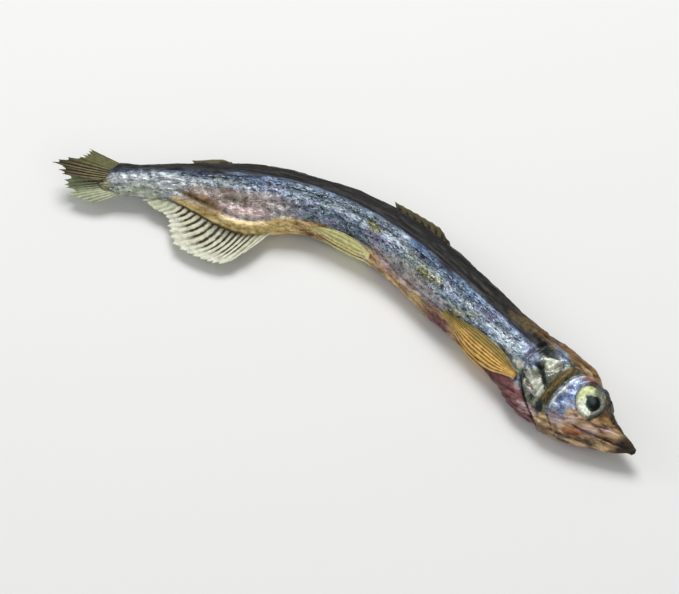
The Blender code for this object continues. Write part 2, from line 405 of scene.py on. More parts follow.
def feed(node: Node, inputs: dict) -> None:
    """Set or link a node's inputs.

    Args:
        node: Node whose inputs are fed.
        inputs: Input name or number, to a value, a socket or a node whose first output feeds it.
    """
    for key, value in inputs.items():
        source = value.outputs[0] if isinstance(value, Node) else value
        if isinstance(source, Socket):
            node.id_data.links.new(source, node.inputs[key])
        else:
            node.inputs[key].default_value = source


def add_node(tree: Tree, kind: str, inputs: dict, **settings: object) -> Node:
    """Add a node, set it up and link it.

    Args:
        tree: Tree that gets the node.
        kind: Blender's name for the node type.
        inputs: What feeds the node's inputs, as `feed` takes it.
        settings: Properties of the node itself.

    Returns:
        The new node.
    """
    node = tree.nodes.new(kind)
    for key, value in settings.items():
        setattr(node, key, value)
    feed(node, inputs)
    return node


def overlay(add: Adder, colour: Socket | tuple, code: str, driver: Socket | Node,
            start: float, end: float, most: float = 1.0) -> Socket:
    """Mix in a colour as the driver goes from start to end, up to a share."""
    share = add("ShaderNodeMapRange", {"Value": driver, 1: start, 2: end, 3: 0.0, 4: most})
    return add("ShaderNodeMix", {0: share, 6: colour, 7: linear(code)}, data_type="RGBA").outputs[2]


def tone(add: Adder, colour: Socket, driver: Node, span: tuple[float, float],
         factors: tuple[float, float]) -> Socket:
    """Multiply a colour by one factor to the other as the driver goes over a span."""
    limits = dict(enumerate(span + factors, 1))
    factor = add("ShaderNodeMapRange", {"Value": driver, **limits})
    return add("ShaderNodeMix", {0: 1.0, 6: colour, 7: factor}, data_type="RGBA",
               blend_type="MULTIPLY").outputs[2]


def set_stops(ramp: Node, stops: Sequence[tuple[float, str]]) -> None:
    """Give a colour ramp its stops, as positions and hex values."""
    band = ramp.color_ramp
    while len(band.elements) > 1:
        band.elements.remove(band.elements[-1])
    band.elements[0].position, band.elements[0].color = stops[0][0], linear(stops[0][1])
    for at, code in stops[1:]:
        band.elements.new(at).color = linear(code)


def new_material(name: str, *tags: str) -> tuple:
    """Make a material that reads values kept on the points.

    Args:
        name: Name of the material.
        tags: Names of the point values; "straight" is the place on the straight fish.

    Returns:
        The material, what adds nodes to it, its shader, and a socket for each tag.
    """
    material = bpy.data.materials.new(name)
    material.use_nodes = True
    add = partial(add_node, material.node_tree)
    reads = [add("ShaderNodeAttribute", {}, attribute_name=tag) for tag in tags]
    kinds = ["Vector" if tag == "straight" else "Fac" for tag in tags]
    sockets = [read.outputs[kind] for read, kind in zip(reads, kinds)]
    return material, add, material.node_tree.nodes["Principled BSDF"], *sockets


def new_group(name: str, *sockets: tuple[str, str, str]) -> Tree:
    """Start a Geometry Nodes tree with its named inputs and outputs.

    Args:
        name: Name of the tree.
        sockets: Name, "INPUT" or "OUTPUT", and kind of value of each socket.

    Returns:
        The new tree.
    """
    tree = bpy.data.node_groups.new(name, "GeometryNodeTree")
    for label, way, kind in sockets:
        tree.interface.new_socket(label, in_out=way, socket_type="NodeSocket" + kind)
    return tree


def finish_group(add: Adder, shapes: Node, finish: Material, label: str) -> None:
    """Make a tree's shapes real and smooth, dress them and hand them out."""
    real = add("GeometryNodeRealizeInstances", {"Geometry": shapes})
    even = add("GeometryNodeSetShadeSmooth", {"Geometry": real})
    dressed = add("GeometryNodeSetMaterial", {"Geometry": even, "Material": finish})
    add("NodeGroupOutput", {label: dressed})


def ring_faces(rings: int, around: int) -> list:
    """Faces of a row of rings, closed by the two poles that follow their points.

    Args:
        rings: Number of rings.
        around: Points of each ring.

    Returns:
        Rows of point numbers.
    """
    ring, at = np.meshgrid(np.arange(rings - 1), np.arange(around), indexing="ij")
    near, far, after = ring * around, (ring + 1) * around, (at + 1) % around
    quads = np.stack((near + at, far + at, far + after, near + after), axis=-1)
    faces = quads.reshape(-1, 4).tolist()
    pole, last = rings * around, (rings - 1) * around
    for k in range(around):
        n = (k + 1) % around
        faces += [(pole, k, n), (pole + 1, last + n, last + k)]
    return faces


def sheet_grid(columns: int, rows: int) -> tuple[Array, Array, list]:
    """Both sides and the rim of a thin closed sheet.

    Args:
        columns: Cells across.
        rows: Cells from root to edge.

    Returns:
        u and v of one side's points, and the faces of both sides and the rim.
    """
    u, v = np.meshgrid(np.linspace(0, 1, columns + 1), np.linspace(0, 1, rows + 1), indexing="ij")
    size = (columns + 1) * (rows + 1)

    def at(i: int, j: int, side: int) -> int:
        """Number of a point."""
        return side * size + i * (rows + 1) + j

    faces = []
    for i in range(columns):
        for j in range(rows):
            front = (at(i, j, 0), at(i + 1, j, 0), at(i + 1, j + 1, 0), at(i, j + 1, 0))
            faces += [front, tuple(p + size for p in reversed(front))]
    rim = [(i, 0) for i in range(columns)] + [(columns, j) for j in range(rows)]
    rim += [(columns - i, rows) for i in range(columns)] + [(0, rows - j) for j in range(rows)]
    for k, (i, j) in enumerate(rim):
        m, n = rim[(k + 1) % len(rim)]
        faces.append((at(i, j, 0), at(i, j, 1), at(m, n, 1), at(m, n, 0)))
    return u.ravel(), v.ravel(), faces


def turn_outward(piece: Piece) -> None:
    """Make a closed piece's faces point outwards."""
    mesh = piece.data
    points = np.empty(len(mesh.vertices) * 3)
    mesh.vertices.foreach_get("co", points)
    points = points.reshape(-1, 3)
    mesh.calc_loop_triangles()
    tris = np.empty(len(mesh.loop_triangles) * 3, np.int32)
    mesh.loop_triangles.foreach_get("vertices", tris)
    a, b, c = (points[tris.reshape(-1, 3)[:, k]] for k in range(3))
    if np.einsum("ij,ij->i", a, np.cross(b, c)).sum() < 0:
        mesh.flip_normals()


def closed_piece(name: str, spine: Spine, straight: Array, faces: list,
                 tags: dict[str, Array], finish: Material) -> Piece:
    """Lay a closed shape on the spine, no lower than the table.

    Args:
        name: Name of the piece.
        spine: Spine that bends and rolls it.
        straight: Rows of s, y and z in millimetres.
        faces: Rows of point numbers.
        tags: Values kept on the points for the finish to read.
        finish: Material of the piece.

    Returns:
        The new object.
    """
    world = spine.lay(straight)
    world[:, 2] = np.maximum(world[:, 2], 0.0)
    piece = make_mesh(name, world, faces)
    turn_outward(piece)
    for tag, values in {"straight": straight, **tags}.items():
        tag_points(piece, tag, values)
    piece.data.materials.append(finish)
    return piece


# ---------------------------------------------------------------- finishes


@dataclass(frozen=True)
class SkinFinish:
    """Air-dried fish skin: silvery guanine over dark pigment, with an oily satin sheen.

    The eye sees steel blue broken by dark pits and painted pale glints, a near-black back
    and an amber belly; painted shade darkens the pits and folds. The real pits are about
    0.3 mm; they are drawn at 0.4 to 1 mm to read.
    """

    navy: str = "#26324A"
    steel: str = "#586B7B"
    silver: str = "#90A3AE"
    cyan: str = "#C3D8DE"
    lavender: str = "#A397C6"
    straw: str = "#C9C7A2"
    pit: str = "#121822"
    # Painted highlight: colour of the pale glints.
    painted_glint: str = "#E8F2F5"
    pits_per_mm: tuple = (1.15, 1.7, 1.7)
    pit_depth: float = 0.18
    grain_span: tuple = (0.36, 0.64)
    torn_span: tuple = (0.72, 1.28)
    # Each noise: its cells along and across the fish in millimetres, turn in degrees, settings.
    grains: tuple = (
        ("long", (4.2, 1.1), 0.0, {"Roughness": 0.7, "Distortion": 0.5}),
        ("lumps", (1.7, 1.5), 0.0, {"Roughness": 0.7, "Distortion": 0.6}),
        ("tint", (9.0, 3.0), 0.0, {"Detail": 3.0}),
        ("fine", (0.62, 0.4), 0.0, {"Detail": 2.0, "Roughness": 0.8}),
        ("specks", (0.95, 0.5), 0.0, {"Detail": 1.0}),
        ("streaks", (4.6, 1.3), -24.0, {"Roughness": 0.6, "Distortion": 0.6}),
        ("strands", (5.0, 0.6), 0.0, {"Roughness": 0.7}),
        ("plates", (0.8, 2.6), -12.0, {"Roughness": 0.65, "Distortion": 0.5}),
    )
    # Each zone: its dark and its light colour, and the noise that goes between them.
    layers: tuple = (
        (Zone.UPPER, "#1E2A48", "#7086AC", "long"),
        (Zone.AZURE, "#1F3A70", "#82A8D2", "long"),
        (Zone.PALE, "#7F93A6", "#DCE8F0", "long"),
        (Zone.TAIL, "#6E7884", "#DCE0DE", "long"),
        (Zone.SAGE, "#86937A", "#D5DBC0", "long"),
        (Zone.MAUVE, "#86706A", "#EADACE", "lumps"),
        (Zone.TARNISH, "#3C3E24", "#8E8A54", "long"),
        (Zone.BELLY, "#5E3A1A", "#FFDA98", "long"),
        (Zone.GOLD, "#C0984E", "#FFEBAC", "long"),
        (Zone.THROAT, "#100606", "#9C6462", "long"),
        (Zone.BACK, "#010101", "#2A2623", "long"),
        (Zone.OPERCLE, "#181D17", "#90947C", "plates"),
        (Zone.CROWN, "#5A3E1C", "#A88450", "streaks"),
        (Zone.CHEEK, "#4A5F98", "#C4D2EE", "lumps"),
        (Zone.JAW, "#5C3C26", "#E0BE90", "streaks"),
        (Zone.STRIPE, "#261C0C", "#8A7644", "plates"),
        (Zone.SLATE, "#3A4660", "#9AAAC2", "lumps"),
        (Zone.PINK, "#8A6668", "#E2C8C6", "streaks"),
        (Zone.RED, "#6E2C12", "#B4703E", "streaks"),
        (Zone.PEARL, "#B9BDA4", "#F8F8E8", "lumps"),
        # The snout's dark, also used for painted shadows; then the painted shade of creases and
        # gaps.
        (Zone.SNOUT, "#0D0B08", "#4C3A26", "streaks"),
        (Zone.INK, "#05090A", "#22302E", "lumps"),
    )

    def noise(self, add: Adder, place: Socket, cell: tuple, turn: float, settings: dict) -> Socket:
        """Noise whose cells are the given millimetres along and across, turned by some degrees."""
        angle = (0.0, 0.0, math.radians(turn))
        size = (cell[0], cell[1], cell[1])
        spot = add("ShaderNodeMapping", {"Vector": place, "Rotation": angle, "Scale": size},
                   vector_type="TEXTURE")
        inputs = {"Vector": spot, "Scale": 1.0, "Detail": 4.0, "Roughness": 0.65, **settings}
        return add("ShaderNodeTexNoise", inputs).outputs["Fac"]

    def zones(self, add: Adder, colour: Socket, noise: dict[str, Socket]) -> Socket:
        """Lay the zones over a colour, each with its own grain and with torn edges."""
        (thin, full), (outer, inner) = self.grain_span, self.torn_span
        spread = {grain: add("ShaderNodeMapRange", {"Value": noise[grain], 1: thin, 2: full})
                  for grain in {layer[3]: None for layer in self.layers}}
        for zone, dark, light, grain in self.layers:
            own = add("ShaderNodeMix", {0: spread[grain], 6: linear(dark), 7: linear(light)},
                      data_type="RGBA").outputs[2]
            share = add("ShaderNodeAttribute", {}, attribute_name=zone.value).outputs["Fac"]
            tearing = noise["strands" if grain == "long" else "lumps"]
            torn = add("ShaderNodeMath", {0: tearing, 1: 1.0, 2: share}, operation="MULTIPLY_ADD")
            edge = add("ShaderNodeMapRange", {"Value": torn, 1: outer, 2: inner})
            most = add("ShaderNodeMath", {0: edge, 1: share}, operation="MINIMUM")
            colour = add("ShaderNodeMix", {0: most, 6: colour, 7: own}, data_type="RGBA").outputs[2]
        return colour

    def colour(self, add: Adder, noise: dict[str, Socket], shine: Socket,
               speckle: Socket) -> Socket:
        """Steel blue flank with the zones over it, then dark specks and painted pale glints."""
        flank = add("ShaderNodeValToRGB", {"Fac": noise["long"]})
        set_stops(flank, ((0.30, self.navy), (0.45, self.steel), (0.58, self.silver),
                          (0.74, self.cyan)))
        colour = overlay(add, flank.outputs[0], self.lavender, noise["tint"], 0.5, 0.68, 0.52)
        colour = overlay(add, colour, self.straw, noise["tint"], 0.46, 0.30, 0.55)
        colour = self.zones(add, colour, noise)
        low = add("ShaderNodeMapRange", {"Value": noise["specks"], 1: 0.47, 2: 0.36,
                                         3: 0.0, 4: 0.9})
        # Painted highlights: pale glints where the fine noise is high, most where the skin is
        # shiny.
        high = add("ShaderNodeMapRange", {"Value": noise["fine"], 1: 0.56, 2: 0.72})
        painted_glint_share = add("ShaderNodeMapRange", {"Value": shine, 1: 0.3, 2: 1.0, 3: 0.0, 4: 0.75})
        for code, grain, where in ((self.pit, low, speckle), (self.painted_glint, high, painted_glint_share)):
            amount = add("ShaderNodeMath", {0: grain, 1: where}, operation="MULTIPLY")
            colour = overlay(add, colour, code, amount, 0.0, 1.0)
        return colour

    def pits(self, add: Adder, place: Socket, speckle: Socket) -> Node:
        """Share of light left by the small pits, lowest where the skin is speckled."""
        spot = add("ShaderNodeMapping", {"Vector": place, "Scale": self.pits_per_mm})
        cells = add("ShaderNodeTexVoronoi", {"Vector": spot, "Scale": 1.0, "Randomness": 0.85})
        least = add("ShaderNodeMapRange", {"Value": speckle, 3: 0.85, 4: 0.45})
        return add("ShaderNodeMapRange", {"Value": cells, 1: 0.05, 2: 0.30, 3: least, 4: 1.0})

    def build(self) -> Material:
        """Build the skin's material."""
        material, add, shader, place, shine, speckle, hollow = new_material(
            "dried_fish_skin", "straight", "shine", "speckle", "hollow")
        noise = {name: self.noise(add, place, *rest) for name, *rest in self.grains}
        pits = self.pits(add, place, speckle)
        # A driver, its two ends, and the values they give to the shader.
        shade, metal, coat, dull, rough, keen = (
            add("ShaderNodeMapRange", {"Value": driver, 1: start, 2: end, 3: low, 4: high})
            for driver, start, end, low, high in (
                (hollow, 0.0, 1.0, 1.0, 0.2), (shine, 0.3, 1.0, 0.0, 0.5),
                (shine, 0.0, 1.0, 0.04, 0.3), (shine, 0.0, 1.0, 0.22, 0.0),
                (noise["fine"], 0.3, 0.7, 0.5, 0.28), (speckle, 0.0, 1.0, 0.35, 1.0)))
        # Painted shade: the colour darkens in the pits and in the folds.
        both = add("ShaderNodeMath", {0: pits, 1: shade}, operation="MULTIPLY")
        colour = self.colour(add, noise, shine, speckle)
        colour = add("ShaderNodeMix", {0: 1.0, 6: colour, 7: both}, data_type="RGBA",
                     blend_type="MULTIPLY").outputs[2]
        total = add("ShaderNodeMath", {0: dull, 1: rough}, operation="ADD")
        relief = add("ShaderNodeMath", {0: pits, 1: 0.5, 2: noise["fine"]},
                     operation="MULTIPLY_ADD")
        dent = add("ShaderNodeBump", {"Height": relief, "Strength": keen,
                                      "Distance": self.pit_depth * MM})
        feed(shader, {"Base Color": colour, "Metallic": metal, "Roughness": total, "Normal": dent,
                      "Coat Weight": coat, "Coat Roughness": 0.25, "Specular IOR Level": 0.2})
        return material


@dataclass(frozen=True)
class FinFinish:
    """Dried fin membrane: the eye sees pale horn, dark where it is thin between the rays.

    gap and broken say how wide and how ragged the dark stripes are, deep how far the colour
    of the root reaches. The dark between the rays is partly the thin membrane and partly
    painted shade of the gaps.
    """

    name: str
    thin: str
    straw: str
    edge: str
    root: str
    accent: str
    gap: float = 0.3
    deep: float = 0.16
    broken: float = 1.0

    def build(self) -> Material:
        """Build the membrane's material."""
        material, add, shader, place, near, span, accent = new_material(
            self.name, "straight", "near_ray", "span", "accent")
        blot = add("ShaderNodeTexNoise", {"Vector": place, "Scale": BLOTS_PER_MM, "Detail": 5.0,
                                          "Roughness": 0.7})
        stripe = add("ShaderNodeMath", {0: blot, 1: self.broken, 2: near}, operation="MULTIPLY_ADD")
        level = 0.5 * self.broken + self.gap
        # Between the rays: dark, partly the thin membrane and partly painted shade of the gaps.
        colour = linear(self.thin)
        for code, driver, start, end, most in (
            (self.straw, stripe, level - 0.1, level + 0.25, 1.0),
            (self.edge, span, 0.62, 0.9, 0.85),
            (self.root, span, self.deep, 0.02, 0.8),
            (self.accent, accent, 0.0, 1.0, 0.8),
        ):
            colour = overlay(add, colour, code, driver, start, end, most)
        fine = add("ShaderNodeTexNoise", {"Vector": place, "Scale": 3.0, "Detail": 3.0})
        dent = add("ShaderNodeBump", {"Height": fine, "Strength": 0.6, "Distance": 0.06 * MM})
        colour = tone(add, colour, blot, (0.3, 0.7), (0.72, 1.28))
        feed(shader, {"Base Color": colour, "Normal": dent, "Roughness": 0.55,
                      "Specular IOR Level": 0.2})
        return material


@dataclass(frozen=True)
class HornFinish:
    """Dried horn of a fin ray or a raised scale: the eye sees it blotched light and dark."""

    name: str
    light: str
    dark: str

    def build(self) -> Material:
        """Build the material of the rays or the scales."""
        material, add, shader = new_material(self.name)
        place = add("ShaderNodeTexCoord", {}).outputs["Object"]
        blot = add("ShaderNodeTexNoise", {"Vector": place, "Scale": BLOTS_PER_MM / MM,
                                          "Detail": 4.0})
        dent = add("ShaderNodeBump", {"Height": blot, "Strength": 0.5, "Distance": 0.05 * MM})
        colour = overlay(add, linear(self.dark), self.light, blot, 0.25, 0.6)
        feed(shader, {"Base Color": colour, "Normal": dent, "Roughness": 0.4})
        return material


class FinLook(Enum):
    """Membrane and rays of each kind of dried fin; colours go thin, straw, edge, root, accent."""

    # Anal fin: the eye sees a straw-white fan; the dark gaps between its rays are painted shade,
    # and its dark brown root is a painted shadow under the body's ridge.
    STRAW = (FinFinish("anal_fin_membrane", "#2E2616", "#CFCDB0", "#E4E5D0", "#33280F", "#BEC4A4",
                       gap=0.3, deep=0.42, broken=1.25),
             HornFinish("pale_fin_ray", "#F2F0E2", "#B4AE8C"))
    # Pectoral fin: the eye sees glowing amber, like thin horn.
    AMBER = (FinFinish("amber_fin_membrane", "#7E5A26", "#F0C06A", "#98854C", "#F6CC7C", "#7C713A",
                       gap=0.25),
             HornFinish("amber_fin_ray", "#EFD096", "#AE8646"))
    # Pelvic fin: the eye sees pale yellow with hardly a dark gap.
    YELLOW = (FinFinish("pelvic_fin_membrane", "#BDB46C", "#EFE8AC", "#B4AC6C", "#F8F2BC",
                        "#CFCB8C"),
              HornFinish("yellow_fin_ray", "#F6F1C6", "#CFC684"))
    # Upper tail lobe: the eye sees olive brown, nearly black between the rays.
    OLIVE = (FinFinish("tail_fin_membrane", "#18130B", "#7E6F46", "#342D1C", "#3A3626", "#707248",
                       gap=0.45),
             HornFinish("olive_fin_ray", "#7A7048", "#1D170D"))
    # Lower tail lobe: the eye sees a faded grey-green.
    SAGE = (FinFinish("pale_tail_membrane", "#5A5C40", "#A6AE8A", "#A0A882", "#8E938C", "#BDC2A4"),
            HornFinish("pale_tail_ray", "#C4C8AA", "#7C7F62"))
    # Dorsal and adipose fins: the eye sees a dull brown, little lighter than the back.
    DUSKY = (FinFinish("back_fin_membrane", "#2C271B", "#6A6146", "#736A4C", "#1A1812", "#6A6146"),
             HornFinish("dusky_fin_ray", "#5A5642", "#2A2619"))

    def build(self) -> tuple[Material, Material]:
        """Build the membrane's and the rays' materials."""
        membrane, ray = self.value
        return membrane.build(), ray.build()


@dataclass(frozen=True)
class EyeFinish:
    """Dried fish eye: a clouded silvery ring about a dark, glossy lens.

    The eye sees a pale ring, yellow-green at the back and whitish in front, with a dark
    teal lens set towards the snout. Painted shade darkens the ring's front-upper side, and
    the dark outer rim is darkened further as a painted shadow of the socket.
    """

    ring: str = "#F0F4E0"
    bright: str = "#DCE898"
    shade: str = "#4A5E50"
    pupil: str = "#050C0C"
    teal: str = "#1D3A3A"
    rim: str = "#3A3A28"

    def build(self) -> Material:
        """Build the eye's material from its radius attribute, 0 in the middle and 1 at the rim."""
        material, add, shader, place, radius, rear, dim = new_material(
            "dried_fish_eye", "straight", "radius", "rear", "dim")
        blot = add("ShaderNodeTexNoise", {"Vector": place, "Scale": BLOTS_PER_MM, "Detail": 5.0,
                                          "Roughness": 0.72})
        wobble = add("ShaderNodeMath", {0: blot, 1: 0.34, 2: radius}, operation="MULTIPLY_ADD")
        ramp = add("ShaderNodeValToRGB", {"Fac": wobble})
        set_stops(ramp, ((0.0, self.pupil), (0.46, self.pupil), (0.56, self.teal),
                         (0.64, self.shade), (0.73, self.ring), (1.0, self.ring)))
        yellow = add("ShaderNodeMath", {0: rear, 1: blot}, operation="MULTIPLY")
        gain = add("ShaderNodeMapRange", {"Value": yellow, 1: 0.2, 2: 0.5, 3: 0.0, 4: 0.8})
        outside = add("ShaderNodeMapRange", {"Value": radius, 1: 0.5, 2: 0.62})
        share = add("ShaderNodeMath", {0: gain, 1: outside}, operation="MULTIPLY")
        colour = overlay(add, ramp.outputs[0], self.bright, share, 0.0, 1.0)
        # Painted shade: the ring darkens on its front-upper side, while the blot draws dark and
        # pale veins.
        lit = add("ShaderNodeMath", {0: dim, 1: -0.5, 2: blot}, operation="MULTIPLY_ADD")
        colour = tone(add, colour, lit, (0.3, 0.62), (0.2, 1.45))
        # The dark rim of the ring, darkened further as a painted shadow of the socket.
        colour = overlay(add, colour, self.rim, wobble, 1.0, 1.22, 0.75)
        dent = add("ShaderNodeBump", {"Height": blot, "Strength": outside, "Distance": 0.1 * MM})
        gloss = add("ShaderNodeMapRange", {"Value": radius, 1: 0.45, 2: 0.65, 3: 0.03, 4: 0.3})
        feed(shader, {"Base Color": colour, "Normal": dent, "Coat Weight": gloss,
                      "Coat Roughness": 0.12, "Roughness": 0.4, "Specular IOR Level": 0.14})
        return material


# ---------------------------------------------------------------- the body


DULLNESS = {Zone.BACK: 1.0, Zone.BELLY: 0.75, Zone.THROAT: 0.8, Zone.JAW: 0.65, Zone.SNOUT: 0.7,
            Zone.CROWN: 0.75, Zone.STRIPE: 0.9, Zone.INK: 0.7, Zone.RED: 0.65, Zone.GOLD: 0.5}
# Marks of each zone: s, y, half length, half width, turn in degrees and strength.
MARKS = {
    # Pearly plates of the gill cover.
    Zone.PEARL: ((24.9, 2.1, 1.9, 1.5, 10), (26.6, -3.0, 1.7, 0.9, 20),
        (24.2, -3.4, 2.0, 1.2, 30), (30.4, -1.9, 1.0, 0.9, 0, 0.8)),
    # Olive smudges: behind the cheek, along the flank and where the tail root runs out.
    Zone.TARNISH: ((22.9, -0.8, 1.2, 1.4, 0, 0.6), (77.0, 0.5, 2.4, 1.3, 20),
        (60.0, -0.9, 4.2, 1.0, -6), (108.0, -3.4, 3.4, 0.8, 0, 0.6), (140.5, 0.0, 3.6, 5.0),
        (48.0, -3.6, 5.0, 0.9, 0, 0.7)),
    # Slate-blue top and rear of the gill cover, and hollows of the cheek.
    Zone.SLATE: ((25.4, 5.2, 2.8, 1.3, 20), (28.8, 0.2, 1.6, 2.2, 0, 0.9),
        (19.0, -1.4, 0.6, 2.0, 0, 0.7), (17.2, -4.1, 1.3, 0.9, -30, 0.8)),
    # Wine-red patches: a spot by the gill edge and the hollow of the belly.
    Zone.THROAT: ((29.4, 1.4, 1.2, 0.8, 0, 0.5), (52.0, -6.2, 3.4, 1.0)),
    # Pink folds of the jaws, the throat, the belly and the flank over the anal fin.
    Zone.PINK: ((25.8, -4.6, 1.6, 0.6, 40, 0.5), (9.6, -3.6, 2.6, 0.8, -26, 0.7),
        (6.6, -0.9, 1.6, 0.6, -26, 0.6), (14.8, -4.6, 2.6, 0.8, -37, 0.7),
        (18.0, -5.6, 1.4, 0.8, -20, 0.7), (9.6, -2.6, 2.2, 0.8, -24, 0.45),
        (10.8, -4.1, 2.6, 0.3, -8, 0.7), (16.8, -6.0, 1.6, 0.6, -40, 0.9),
        (24.2, -7.6, 2.8, 0.5, -8, 0.9), (28.0, -6.0, 1.6, 0.7, 30, 0.6),
        (22.6, -8.4, 2.6, 0.5, -10, 0.9), (67.0, -5.0, 6.0, 0.35, 6, 0.8),
        (71.5, -3.6, 3.5, 0.7, 6, 0.6), (103.5, -5.0, 3.4, 1.4, 10, 0.6),
        (108.5, -5.4, 4.5, 1.2, 0, 0.7)),
    # Painted shade: dark streaks in the creases between the plates of the gill cover and under the
    # lower jaw.
    Zone.INK: ((29.2, -0.6, 1.4, 0.25, 30, 0.6), (26.0, 3.6, 1.2, 0.5, -20, 0.7),
        (28.3, 3.4, 2.6, 1.3, -28), (25.4, -0.8, 3.0, 0.7, 25), (21.2, -6.2, 1.5, 0.9, 60),
        (27.4, -1.8, 1.6, 0.3, 30, 0.7), (9.2, -5.2, 2.6, 0.25, -20, 0.6)),
    # Dark brown on the nape and along the root of the anal fin.
    Zone.STRIPE: ((37.5, 5.6, 5.0, 1.3, 0, 0.5), (46.0, 5.8, 4.0, 0.9, 0, 0.3),
        (117.2, -4.3, 4.4, 0.6, 20, 0.9)),
    # Nearly black marks: painted shade in the folds of the jaws, the throat and the crown, a
    # painted shadow on the flank over the pectoral fin, and the tail root's own dark.
    Zone.SNOUT: ((8.2, -4.4, 1.6, 0.5, -26, 0.6), (13.6, -7.0, 2.0, 0.5, -20, 0.6),
        (19.2, -9.0, 2.0, 0.6, -12, 0.6), (23.0, 7.4, 3.0, 0.5, -8, 0.5),
        (35.0, -2.1, 4.2, 0.4, 11, 0.85), (17.5, -8.9, 4.0, 0.6, -8, 0.6), (140.0, 0.9, 2.8, 1.5)),
    # Rusty corner of the mouth and mark behind the brow.
    Zone.RED: ((12.4, -5.5, 2.9, 0.6, -26, 0.75), (16.8, 4.5, 1.9, 0.8, 0, 0.9)),
    # Amber top of the head.
    Zone.JAW: ((18.7, 6.4, 2.4, 1.0, 0, 0.7),),
    # Golden patch of the belly.
    Zone.GOLD: ((58.6, -6.0, 3.4, 0.9, 0, 0.9),),
    # Bright blue field of the flank.
    Zone.AZURE: ((66.0, 2.4, 4.0, 1.2, -5),),
    # Pale field of the flank.
    Zone.PALE: ((71.5, 1.2, 3.0, 1.4, -20, 0.8),),
    # Brown nape and the brown patches over the anal fin.
    Zone.CROWN: ((115.4, -4.8, 5.6, 1.5, 20, 0.9), (111.0, -1.6, 2.4, 1.6, 60, 0.5),
        (34.0, 7.0, 9.0, 1.6, 0, 0.45)),
}
BLOTCHES = [Blotch(zone, *mark) for zone, marks in MARKS.items() for mark in marks]


